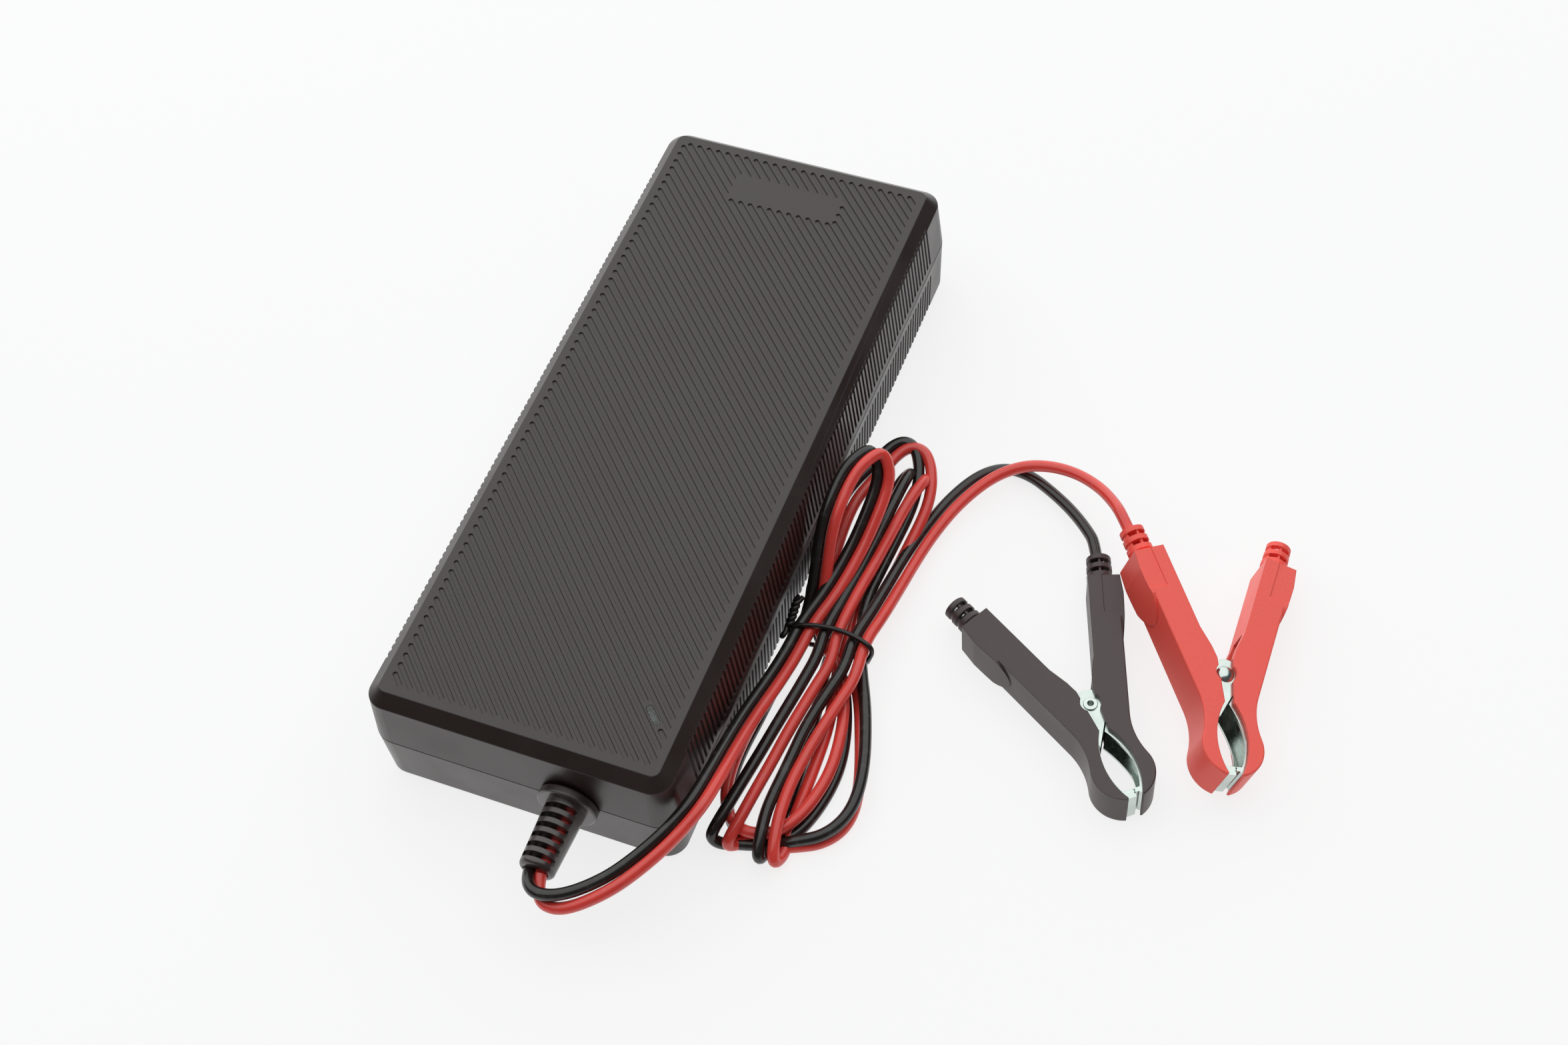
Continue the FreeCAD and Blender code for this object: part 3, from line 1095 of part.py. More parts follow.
def teeth(heel, length, face):
    """Upright notches in the face of a bite."""
    notches = []
    for number in range(int(length / S.tooth_pitch)):
        middle = heel + (number + 0.5) * S.tooth_pitch
        spots = [VECTOR(middle - S.tooth_depth, face - 0.05, 0),
                 VECTOR(middle, face + S.tooth_depth, 0),
                 VECTOR(middle + S.tooth_depth, face - 0.05, 0)]
        plan = Part.Face(Part.makePolygon(spots + spots[:1]))
        notches.append(plan.extrude(VECTOR(0, 0, S.clip_height)))
    return notches


def rivet(hollow):
    """Through all four ears: an eyelet with rolled rims, or a solid rivet with a domed head."""
    low = S.cover_wall + S.plate_gap
    top = S.clip_height - low
    pieces = [column(S.rivet_radius, low, top)]
    if hollow:
        for rim in (top, low - S.eyelet_height):
            head = column(S.eyelet_radius, rim, rim + S.eyelet_height)
            rolled = [edge for edge in head.Edges if edge.Closed and outward(edge, rim, top)]
            pieces.append(head.makeFillet(S.eyelet_height * 0.45, rolled))
        solid = pieces[0].fuse(pieces[1:])
        return solid.cut(column(S.eyelet_bore, 0, S.clip_height + 1))
    radius = (S.dome_radius ** 2 + S.dome_height ** 2) / (2 * S.dome_height)
    ball = Part.makeSphere(radius, VECTOR(0, 0, top + S.dome_height - radius))
    dome = ball.common(column(2 * S.dome_radius, top, top + 2 * S.dome_height))
    foot = column(S.eyelet_radius, low - S.eyelet_height, low)
    return pieces[0].fuse([dome, foot])


def outward(edge, rim, top):
    """Whether a closed edge is the rim that faces away from the ears."""
    height = edge.BoundBox.ZMin
    away = rim + S.eyelet_height if rim >= top else rim
    return abs(height - away) < 0.01


def torsion_spring():
    """A coil round the rivet, with a straight leg into each handle."""
    wire, radius = S.spring_wire, S.spring_radius
    splay = math.radians(S.handle_angle + S.spring_splay)
    start = splay - math.pi / 2
    turns = S.spring_turns + 2 * -start / (2 * math.pi)
    height = turns * S.spring_pitch
    coil = Part.makeHelix(S.spring_pitch, height, radius)
    coil.rotate(VECTOR(), UP, math.degrees(start))
    base = (S.clip_height - height) / 2
    coil.translate(VECTOR(0, 0, base))
    first = VECTOR(radius * math.cos(start), radius * math.sin(start), base)
    along = VECTOR(-math.sin(start), math.cos(start), 0)
    profile = Part.Wire(Part.Circle(first, along, wire).toShape())
    solid = Part.Wire(coil.Edges).makePipeShell([profile], True, True)
    last = VECTOR(first.x, -first.y, base + height)
    away = VECTOR(-along.x, along.y, 0)
    legs = [Part.makeCylinder(wire, S.spring_leg, first, along * -1),
            Part.makeCylinder(wire, S.spring_leg, last, away)]
    return solid.fuse(legs)


def crimp():
    """The barrel on a wired arm that grips the end of its lead."""
    radius = S.wire_radius + S.crimp_wall
    ring = Part.makeCylinder(radius, S.crimp_length, VECTOR(), VECTOR(1, 0, 0))
    ring = ring.cut(Part.makeCylinder(S.wire_radius, S.crimp_length, VECTOR(), VECTOR(1, 0, 0)))
    web = S.handle_inner + S.handle_width - S.cover_wall - S.plate / 2
    tie = Part.makeBox(S.crimp_length, web - S.boot_axis - S.wire_radius, S.wire_radius,
                       VECTOR(0, -(web - S.boot_axis), -S.wire_radius / 2))
    return along_handle(ring.fuse(tie), S.wire_entry, S.boot_axis, S.clip_height / 2)


def clip_placement(colour):
    """Where a clip lies: the middle of its height on the rivet's axis, then its turns."""
    turn = FreeCAD.Rotation(getattr(S, f"{colour}_clip_yaw"), getattr(S, f"{colour}_clip_pitch"),
                            getattr(S, f"{colour}_clip_roll"))
    middle = VECTOR(getattr(S, f"{colour}_clip_x"), getattr(S, f"{colour}_clip_y"),
                    getattr(S, f"{colour}_clip_lift"))
    return FreeCAD.Placement(middle - turn.multVec(VECTOR(0, 0, S.clip_height / 2)), turn)


def sided(shape, side):
    return shape if side > 0 else shape.mirror(VECTOR(), VECTOR(0, 1, 0))


def clip(colour, wired_side):
    """One spring clip. The arm on the -Y side has the outer ears; the wired arm stays still."""
    spot = clip_placement(colour)
    for role, side in (("fixed", wired_side), ("moving", -wired_side)):
        steel = steel_arm(nested=side > 0)
        if role == "fixed":
            steel = steel.fuse(crimp())
        creased = colour == "black" and role == "moving"
        for piece, shape in (("arm", steel), ("cover", sleeve(creased))):
            name = f"{colour}_clip_{role}_{piece}"
            node(shaped(f"{name}_solid", sided(shape, side), spot), name)
    node(shaped(f"{colour}_rivet_solid", rivet(hollow=colour == "black"), spot),
         f"{colour}_clip_rivet")
    node(shaped(f"{colour}_spring_solid", torsion_spring(), spot), f"{colour}_clip_spring")


# ---------------------------------------------------------------- cord
def rounded_path(points):
    """Straight runs joined by tangent arcs, each as large as its two runs allow."""
    runs = [last - first for first, last in zip(points, points[1:])]
    edges, start, radii = [], points[0], []
    for number, corner in enumerate(points[1:-1]):
        before, after = runs[number], runs[number + 1]
        half = before.getAngle(after) / 2
        reach = 0.45 * min(before.Length, after.Length)
        radius = reach / math.tan(half)
        ahead, onward = VECTOR(before).normalize(), VECTOR(after).normalize()
        first, last = corner - ahead * reach, corner + onward * reach
        inward = (onward - ahead).normalize()
        sag = radius / math.cos(half) - radius
        edges += [line(start, first), arc(first, corner + inward * sag, last)]
        start = last
        radii.append(round(radius, 1))
    edges.append(line(start, points[-1]))
    return Part.Wire(edges), radii


def start_section(path, radius):
    first = path.Edges[0]
    circle = Part.Circle(first.valueAt(first.FirstParameter),
                         first.tangentAt(first.FirstParameter), radius)
    return Part.Wire(circle.toShape())


def tube(label, points):
    """A conductor along its route, checked against its section times its length."""
    path, radii = rounded_path([VECTOR(*point) for point in points])
    solid = path.makePipeShell([start_section(path, S.wire_radius)], True, False)
    share = solid.Volume / (math.pi * S.wire_radius ** 2 * path.Length)
    print(f"{label}: length {path.Length:.1f}, radii {radii}, volume share {share:.4f}")
    if abs(share - 1) > 0.01:
        raise ValueError(f"{label} is not a sound tube")
    node(shaped(f"{label}_solid", solid), label)


def boot_points(colour, side):
    """The lead's last points: just outside the boot, and its end in the arm's crimp."""
    spot = clip_placement(colour)
    points = []
    for along in (S.handle_reach + S.boot_length + 4, S.wire_entry):
        local = handle_point(along, S.boot_axis)
        point = spot.multVec(VECTOR(local.x, side * local.y, S.clip_height / 2))
        points.append((point.x, point.y, point.z))
    return points


RELIEF_MOUTH = -S.case_length / 2 - S.relief_length
BLACK_X = S.relief_x - S.wire_radius
RED_X = S.relief_x + S.wire_radius
CORD_Z = S.parting_height
LEAD_FOOT = S.case_floor + S.wall + S.board_lift + S.board_height

BLACK_INNER = [(8.0, -78.0, LEAD_FOOT), (8.0, -78.0, 12.9), (9.2, -85.0, 16.8),
               (BLACK_X, -96.0, CORD_Z), (BLACK_X, RELIEF_MOUTH, CORD_Z)]
RED_INNER = [(20.0, -78.0, LEAD_FOOT), (20.0, -78.0, 12.9), (18.9, -85.0, 16.8),
             (RED_X, -96.0, CORD_Z), (RED_X, RELIEF_MOUTH, CORD_Z)]

# From the boot's mouth the pair rolls over itself and climbs along the case to the tie.
BLACK_START = [(BLACK_X, RELIEF_MOUTH, CORD_Z), (13.5, -127.4, 19.6), (17.8, -130.1, 20.9),
               (24.0, -127.8, 20.5), (31.6, -120.8, 20.8), (37.2, -113.3, 22.6),
               (42.2, -105.4, 25.3), (45.4, -96.8, 27.0), (45.7, -87.0, 24.9),
               (45.0, -75.5, 19.6), (44.9, -63.0, 14.7), (45.9, -51.0, 11.2),
               (47.1, -40.5, 9.4)]
RED_START = [(RED_X, RELIEF_MOUTH, CORD_Z), (16.1, -127.1, 17.3), (19.0, -130.7, 16.9),
             (25.2, -130.4, 18.2), (33.6, -123.4, 19.9), (39.6, -115.6, 22.2),
             (44.8, -107.2, 25.1), (48.5, -97.6, 27.2), (49.0, -87.0, 25.1),
             (48.3, -75.5, 19.9), (48.2, -63.0, 14.9), (49.2, -51.0, 11.3),
             (50.4, -40.5, 9.4)]

# From the tie the pair drops to the floor, parts, and each lead rises into its clip.
BLACK_END = [(63.6, -24.0, 8.6), (64.2, -11.0, 6.2), (65.1, 1.6, 4.2), (67.0, 13.8, 2.6),
             (70.3, 25.8, 1.8), (75.2, 35.0, 1.7), (81.4, 39.4, 1.7), (88.6, 38.7, 1.9),
             (95.6, 35.0, 2.6), (102.4, 30.4, 3.6), (108.4, 24.9, 5.0)] + boot_points("black", 1)
RED_END = [(66.9, -24.6, 8.6), (67.6, -11.9, 6.4), (68.5, 0.4, 4.6), (70.1, 11.4, 3.8),
           (73.4, 22.3, 4.2), (79.0, 32.3, 5.2), (86.0, 38.2, 6.2), (93.9, 39.4, 8.0),
           (102.0, 37.6, 10.4), (109.2, 33.6, 12.8), (114.6, 28.4, 15.4)] + boot_points("red", -1)


def hank():
    """The outer shape of the tied hank: a low bundle, waisted at its tie, with one raised loop."""
    low = [VECTOR(*spot, 0) for spot in HANK_PLAN]
    plan = Part.Face(Part.Wire(Part.makePolygon(low + low[:1])))
    block = plan.extrude(VECTOR(0, 0, S.hank_high))
    slope = [VECTOR(0, along, height) for along, height in HANK_SIDE]
    side = Part.Face(Part.makePolygon(slope + slope[:1])).extrude(VECTOR(200, 0, 0))
    hoop = [VECTOR(0, along, height) for along, height in HOOP_SIDE]
    raised = Part.Face(Part.makePolygon(hoop + hoop[:1]))
    raised = raised.extrude(VECTOR(S.hoop_width, 0, 0))
    raised.translate(VECTOR(S.hoop_x, 0, 0))
    solid = block.common(side).fuse(raised)
    return solid.cut(tie_ring(S.tie_gap))


HANK_PLAN = ((45.4, -31.0), (43.4, -52.0), (43.2, -76.0), (46.0, -90.0), (54.0, -96.0),
             (64.0, -98.0), (74.0, -92.0), (80.8, -80.0), (80.0, -66.0), (70.5, -42.0),
             (67.6, -31.0), (66.0, -24.0), (62.4, -14.0), (62.6, 2.0), (64.6, 22.0), (59.0, 37.0),
             (51.0, 37.0), (45.0, 28.0), (43.2, 12.0), (43.4, -12.0))
HANK_SIDE = ((-99.0, 0.0), (-99.0, 7.0), (-56.0, 7.0), (-42.0, 11.0), (-20.0, 11.0),
             (-4.0, 9.0), (38.0, 9.0), (38.0, 0.0))
HOOP_SIDE = ((-22.0, 6.0), (-6.0, 17.0), (4.0, 27.5), (14.0, 31.4), (26.0, 31.4),
             (28.0, 26.0), (22.0, 8.0))


def tie_ring(grow):
    """The thin wire round the waist of the hank."""
    radius = S.tie_radius
    left, right = S.tie_left + radius, S.tie_right - radius
    low, high = radius, S.tie_height - radius
    bend = S.tie_bend
    edges = [line(VECTOR(left + bend, 0, low), VECTOR(right - bend, 0, low)),
             line(VECTOR(right, 0, low + bend), VECTOR(right, 0, high - bend)),
             line(VECTOR(right - bend, 0, high), VECTOR(left + bend, 0, high)),
             line(VECTOR(left, 0, high - bend), VECTOR(left, 0, low + bend))]
    shift = bend * (1 - math.sqrt(0.5))
    turns = ((right, low, -1, 1), (right, high, -1, -1), (left, high, 1, -1), (left, low, 1, 1))
    path = []
    for straight, (x, z, sx, sz), after in zip(edges, turns, edges[1:] + edges[:1]):
        begin = straight.Vertexes[-1].Point
        end = after.Vertexes[0].Point
        path += [straight, arc(begin, VECTOR(x + sx * shift, 0, z + sz * shift), end)]
    loop = Part.Wire(path)
    solid = loop.makePipeShell([start_section(loop, radius + grow)], True, False)
    solid.translate(VECTOR(0, S.tie_y, 0))
    return solid


def twist_tie():
    """The tie's ring, with its two ends twisted together beside the case."""
    ring = tie_ring(0)
    ends = Part.makeCylinder(1.8 * S.tie_radius, S.tie_tail,
                             VECTOR(S.tie_left + S.tie_radius, S.tie_y, S.tie_height / 2),
                             VECTOR(-0.05, 1, 0.35))
    node(shaped("tie_solid", ring.fuse(ends)), "twist_tie")


# ---------------------------------------------------------------- the whole charger
def cord():
    tube("black_inner_lead", BLACK_INNER)
    tube("red_inner_lead", RED_INNER)
    tube("black_lead_start", BLACK_START)
    tube("red_lead_start", RED_START)
    tube("black_lead_end", BLACK_END)
    tube("red_lead_end", RED_END)
    node(shaped("hank_solid", hank()), "cord_hank")
    twist_tie()


def write_parts():
    """Checks every object, then writes each node to its own file."""
    doc.recompute()
    for thing in doc.Objects:
        if "Invalid" in thing.State or "Error" in thing.State:
            raise ValueError(f"{thing.Label} failed: {thing.State}")
    os.makedirs("parts", exist_ok=True)
    for thing in NODES:
        shape = thing.Shape
        if shape.isNull() or not shape.isValid():
            raise ValueError(f"{thing.Label} has no valid shape")
        shape.exportStep(f"parts/{thing.Label}.step")
        print(f"{thing.Label}: {len(shape.Solids)} solids, {shape.Volume:.1f} mm3")


top_shell()
bottom_shell()
case_screws()
rubber_feet()
light_pipe()
status_led()
strain_relief()
mains_inlet()
inlet_pins()
circuit_board()
board_screws()
insulation_sheet()
mains_fuse()
filter_capacitor()
choke()
bridge()
bulk_capacitor()
heat_sink("primary_sink", "primary_heat_sink", SINK_Y)
power_part("switch", "switching_transistor", SINK_Y)
transformer()
heat_sink("output_sink", "output_heat_sink", "output_sink_y")
power_part("rectifier", "output_rectifier", "output_sink_y")
output_capacitors()
clip("black", wired_side=1)
clip("red", wired_side=-1)
cord()
write_parts()
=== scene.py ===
"""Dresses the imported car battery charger: case, cord, tie, clips, stage and camera."""
import math
import bmesh
import bpy
from bpy.props import FloatProperty, FloatVectorProperty, PointerProperty
from mathutils import Matrix, Vector


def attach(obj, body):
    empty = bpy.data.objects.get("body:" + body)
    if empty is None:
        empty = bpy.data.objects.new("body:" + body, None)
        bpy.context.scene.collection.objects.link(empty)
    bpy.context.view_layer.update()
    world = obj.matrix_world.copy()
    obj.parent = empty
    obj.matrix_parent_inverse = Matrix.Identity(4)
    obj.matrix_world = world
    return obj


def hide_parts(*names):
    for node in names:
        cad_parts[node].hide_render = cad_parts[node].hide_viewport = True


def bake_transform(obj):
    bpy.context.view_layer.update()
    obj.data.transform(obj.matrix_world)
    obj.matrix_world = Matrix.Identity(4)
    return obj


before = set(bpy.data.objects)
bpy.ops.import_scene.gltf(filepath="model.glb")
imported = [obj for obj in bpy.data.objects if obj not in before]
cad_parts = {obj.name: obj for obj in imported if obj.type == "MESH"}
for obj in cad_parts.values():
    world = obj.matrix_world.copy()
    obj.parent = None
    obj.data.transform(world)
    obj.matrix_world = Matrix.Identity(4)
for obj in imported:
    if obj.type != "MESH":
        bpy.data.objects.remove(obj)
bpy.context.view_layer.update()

bl_info = {
    "name": "Car battery charger",
    "version": (1, 0, 0),
    "blender": (4, 5, 0),
    "location": "3D View > Sidebar > Charger",
    "description": "Dresses a car battery charger with its tied output cord and two clips",
    "category": "Object",
}

MM = 0.001
MERGE_DISTANCE = 1e-6
SPRING_SHARP_EDGE = math.radians(40)
EDGE_SAMPLES = 4
BANDS_PER_SCALE = 0.314
CORD_STEPS = 8
CORD_SIDES = 4
TWIST_TURNS = 2.5
TWIST_STEPS = 8
TWIST_RADIUS_SHARE = 0.52

# stage, in metres
FLOOR_REACH = 3.0
FLOOR_GLOW = 0.8
FLOOR_TONES = ((0.86, 0.86, 0.86), (0.88, 0.88, 0.88))
LAMP_SPOT = (-0.3, 0.5, 0.85)
LAMP_AIM = (0.03, 0.0, 0.02)
LAMP_SIZE = (3.2, 3.2)
LAMP_POWER = 42.0
LAMP_TONE = (0.97, 1.0, 0.99)
ROOM_LEVEL = 0.1
ROOM_TONE = (0.94, 0.97, 1.0)
WHITE = (1.0, 1.0, 1.0)
CAMERA_SPOT = (0.19427, -0.32312, 0.53183)
CAMERA_ACROSS = (0.92984, 0.36172, -0.06753)
CAMERA_UP = (-0.26380, 0.78323, 0.56299)
CAMERA_BACK = (0.25654, -0.50568, 0.82370)
CAMERA_LENS = 53.62
CAMERA_SENSOR = 36.0
CAMERA_RANGE = (0.01, 20.0)


# ---------------------------------------------------------------- sizes and colours
def colour_of(code):
    """A colour code's red, green and blue as the linear values that the shaders take."""
    parts = [int(code[spot:spot + 2], 16) / 255 for spot in (0, 2, 4)]
    return tuple(part / 12.92 if part <= 0.04045 else ((part + 0.055) / 1.055) ** 2.4
                 for part in parts)


def length(name, description, default):
    return FloatProperty(name=name, description=description, default=default, min=0.0,
                         precision=5, unit="LENGTH", subtype="DISTANCE")


def colour(name, description, code):
    return FloatVectorProperty(name=name, description=description, default=colour_of(code),
                               size=3, min=0.0, max=1.0, subtype="COLOR")


class ChargerSizes(bpy.types.PropertyGroup):
    """Sizes that the dressing of the charger uses."""
    cord_diameter: length("Cord", "Diameter of one conductor with its sheath", 0.0032)
    black_length: length("Black length", "Length of the black conductor", 1.050)
    red_length: length("Red length", "Length of the red conductor", 1.045)
    spring_coil: length("Spring coil", "Height of a spring's coil between its legs", 0.0037)
    tie_wire: length("Tie wire", "Diameter of the wire that ties the hank", 0.0013)
    case_grain: length("Case grain", "Spacing of the moulded texture of the case", 0.0007)
    case_edge: length("Case edge", "Softening of the case's moulded edges", 0.0004)
    clip_edge: length("Clip edge", "Softening of the clips' moulded edges", 0.0003)


class ChargerColours(bpy.types.PropertyGroup):
    """Colours of the charger's outer pieces."""
    case: colour("Case", "Plastic of the two shells", "251815")
    boot: colour("Strain relief", "Rubber of the strain relief", "3a2f2e")
    black_sheath: colour("Black sheath", "Sheath of the black conductor", "211b1a")
    red_sheath: colour("Red sheath", "Sheath of the red conductor", "e9463e")
    black_sleeve: colour("Black sleeve", "Plastic of the black clip", "453838")
    red_sleeve: colour("Red sleeve", "Plastic of the red clip", "fd5a4e")
    steel: colour("Plated steel", "Nickel plate of the clips' arms", "cdd6d1")
    lens: colour("Lens", "Clear plastic of the light pipe", "e6e9ea")


# ---------------------------------------------------------------- finishes
class Finish:
    """A node material for one finish, with patterns fixed to the piece in metres."""

    def __init__(self, name):
        self.material = bpy.data.materials.new(name)
        self.material.use_nodes = True
        self.tree = self.material.node_tree
        self.shader = self.tree.nodes["Principled BSDF"]
        self.spot = self.node("TexCoord").outputs["Object"]

    def node(self, kind, options=(), **inputs):
        """Adds a node with its options, and feeds its inputs by name."""
        made = self.tree.nodes.new("ShaderNode" + kind)
        for name, value in dict(options).items():
            setattr(made, name, value)
        for name, value in inputs.items():
            self.feed(made.inputs[name.replace("_", " ")], value)
        return made

    def feed(self, socket, value):
        """Links an output to a socket, or sets the socket to a plain value."""
        if isinstance(value, bpy.types.NodeSocket):
            self.tree.links.new(value, socket)
        elif socket.type == "RGBA":
            socket.default_value = (*value[:3], 1.0)
        else:
            socket.default_value = value

    def set(self, **inputs):
        """Feeds the shader's own inputs by name."""
        for name, value in inputs.items():
            self.feed(self.shader.inputs[name.replace("_", " ")], value)
        return self

    def noise(self, size, detail=2.0, stretch=None):
        """Soft random patches of about a size in metres."""
        spot = self.spot
        if stretch is not None:
            spot = self.node("Mapping", Vector=spot, Scale=stretch).outputs["Vector"]
        return self.node("TexNoise", Vector=spot, Scale=1 / size, Detail=detail).outputs[0]

    def levels(self, value, low, high, first=0.3, last=0.7):
        """Carries a value from one range to another."""
        made = self.node("MapRange", Value=value, From_Min=first, From_Max=last, To_Min=low,
                         To_Max=high)
        return made.outputs["Result"]

    def mix(self, factor, first, last):
        """Mixes two colours by a factor."""
        made = self.node("Mix", {"data_type": "RGBA"})
        self.feed(made.inputs[0], factor)
        self.feed(made.inputs[6], first)
        self.feed(made.inputs[7], last)
        return made.outputs[2]

    def rounded(self, radius):
        """The surface's normal with its edges rounded over a radius."""
        return self.node("Bevel", {"samples": EDGE_SAMPLES}, Radius=radius).outputs["Normal"]

    def bump(self, height, distance, strength=1.0, normal=None):
        """The surface's normal, raised by a height over a distance."""
        made = self.node("Bump", Height=height, Distance=distance, Strength=strength)
        if normal is not None:
            self.feed(made.inputs["Normal"], normal)
        return made.outputs["Normal"]


def shade(base, factor):
    """A lighter or darker tone of a colour."""
    return tuple(min(1.0, part * factor) for part in base)


def moulded(name, base, roughness=0.5, grain=0.0008, depth=0.00003, tint=0.1, edge=0.0003,
            coat=0.0, specular=0.5):
    """Moulded plastic or rubber: a fine sparked texture, cloudy gloss and softened edges."""
    made = Finish(name)
    cloud = made.noise(0.02, 3.0)
    fine = made.noise(grain, 3.0)
    toned = made.mix(made.levels(cloud, 0.0, 1.0), shade(base, 1 - tint), shade(base, 1 + tint))
    speck = made.mix(made.levels(fine, 0.0, 1.0, 0.35, 0.75), toned, shade(base, 1 + 2 * tint))
    normal = made.rounded(edge) if edge else None
    made.set(Base_Color=speck, Coat_Weight=coat, Coat_Roughness=0.15,
             Specular_IOR_Level=specular,
             Roughness=made.levels(cloud, roughness - 0.06, roughness + 0.06),
             Normal=made.bump(fine, depth, 1.0, normal))
    return made.material


def plated(name, base, roughness, edge=0.0001, brush=(1.0, 1.0, 12.0)):
    """Plated or rolled metal: faint rolling marks and cloudy gloss."""
    made = Finish(name)
    cloud = made.noise(0.006, 3.0)
    marks = made.noise(0.0012, 4.0, brush)
    made.set(Base_Color=made.mix(made.levels(cloud, 0.0, 1.0), shade(base, 0.86), base),
             Metallic=1.0, Roughness=made.levels(marks, roughness - 0.07, roughness + 0.09),
             Normal=made.bump(marks, 0.00001, 0.6, made.rounded(edge)))
    return made.material


def clear(name, base, roughness, through):
    """Clear or milky plastic or glass."""
    made = Finish(name)
    cloud = made.noise(0.002, 2.0)
    made.set(Base_Color=made.mix(made.levels(cloud, 0.0, 1.0), base, shade(base, 0.9)),
             Transmission_Weight=through, IOR=1.5,
             Roughness=made.levels(cloud, roughness - 0.04, roughness + 0.08),
             Normal=made.bump(cloud, 0.00004))
    return made.material


def banded(name, base, gap_shade_or_print, pitch, along="Z", roughness=0.4, metallic=0.0, depth=0.0002):
    """Turns of wire or tape side by side, as on a winding, or bands on a sleeve. On a winding the
    darker second tone is painted shade in the gaps between turns; on a sleeve the second tone is
    print.
    """
    made = Finish(name)
    turns = made.node("TexWave", {"bands_direction": along}, Vector=made.spot,
                      Scale=BANDS_PER_SCALE / pitch, Distortion=0.6, Detail=1.0).outputs[0]
    cloud = made.noise(0.004, 2.0)
    # second tone: painted shade between turns on the windings, printed bands on the sleeves
    tone = made.mix(turns, gap_shade_or_print, base)
    made.set(Base_Color=made.mix(made.levels(cloud, 0.0, 0.35), tone, shade(base, 0.7)),
             Metallic=metallic, Roughness=made.levels(cloud, roughness - 0.05, roughness + 0.1),
             Normal=made.bump(turns, depth))
    return made.material


def laminate(name, mask, track):
    """A circuit board under solder mask, with broad copper tracks showing through."""
    made = Finish(name)
    fields = made.node("TexVoronoi", {"feature": "DISTANCE_TO_EDGE"}, Vector=made.spot,
                       Scale=120.0, Randomness=0.75).outputs["Distance"]
    copper = made.levels(fields, 0.0, 1.0, 0.06, 0.09)
    weave = made.noise(0.0006, 2.0)
    tone = made.mix(copper, mask, track)
    made.set(Base_Color=made.mix(made.levels(weave, 0.0, 0.2), tone, shade(mask, 0.6)),
             Roughness=made.levels(weave, 0.28, 0.4), Normal=made.bump(copper, 0.00004))
    return made.material


def sheathed(name, base, roughness=0.24):
    """Soft vinyl cord sheath: satin gloss, with a slow unevenness and faint handling marks."""
    made = Finish(name)
    slow = made.noise(0.012, 2.0)
    marks = made.noise(0.0025, 3.0, (1.0, 1.0, 0.4))
    tone = made.mix(made.levels(slow, 0.0, 1.0), shade(base, 0.92), shade(base, 1.06))
    dull = (0.3, 0.27, 0.27)
    made.set(Base_Color=made.mix(made.levels(marks, 0.0, 0.1, 0.55, 0.75), tone, dull),
             Roughness=made.levels(slow, roughness - 0.04, roughness + 0.08),
             Coat_Weight=0.25, Coat_Roughness=0.12, Normal=made.bump(slow, 0.0002, 0.3))
    return made.material


def dress(node, finish):
    """Gives a carried node its finish; its shape stays as it is."""
    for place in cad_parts[node].material_slots:
        place.material = finish


def settings():
    """The charger's sizes and colours."""
    return bpy.context.scene.charger_sizes, bpy.context.scene.charger_colours


# ---------------------------------------------------------------- case
class CHARGER_OT_case(bpy.types.Operator):
    """Finish the two shells, their screws and feet, and the light pipe"""
    bl_idname = "charger.case"
    bl_label = "Case"

    def execute(self, context):
        sizes, colours = settings()
        shell = moulded("Sparked case plastic", colours.case, 0.32, grain=sizes.case_grain,
                        depth=0.00002, tint=0.08, edge=sizes.case_edge, specular=0.68)
        for node in ("top_shell", "bottom_shell"):
            dress(node, shell)
        dress("case_screws", plated("Blackened screw steel", colour_of("56534f"), 0.35))
        dress("rubber_feet", moulded("Foot rubber", colour_of("1b1a1a"), 0.75, grain=0.001,
                                     depth=0.00005))
        dress("led_light_pipe", clear("Clear light pipe", colours.lens, 0.08, 0.95))
        dress("status_led", clear("Green lamp body", colour_of("9fd39a"), 0.2, 0.7))
        return {"FINISHED"}


class CHARGER_OT_strain_relief(bpy.types.Operator):
    """Finish the ribbed strain relief"""
    bl_idname = "charger.strain_relief"
    bl_label = "Strain relief"

    def execute(self, context):
        sizes, colours = settings()
        dress("cord_strain_relief", moulded("Strain relief rubber", colours.boot, 0.3,
                                            grain=0.0009, depth=0.00001, edge=sizes.clip_edge,
                                            coat=0.2, specular=0.7))
        return {"FINISHED"}


class CHARGER_OT_mains_inlet(bpy.types.Operator):
    """Finish the mains inlet and its pins"""
    bl_idname = "charger.mains_inlet"
    bl_label = "Mains inlet"

    def execute(self, context):
        dress("mains_inlet", moulded("Inlet plastic", colour_of("1f1e1f"), 0.38, grain=0.0012,
                                     depth=0.00002))
        dress("inlet_pins", plated("Inlet pin plate", colour_of("cfc9bd"), 0.25, edge=0.00015,
                                   brush=(1.0, 10.0, 1.0)))
        return {"FINISHED"}


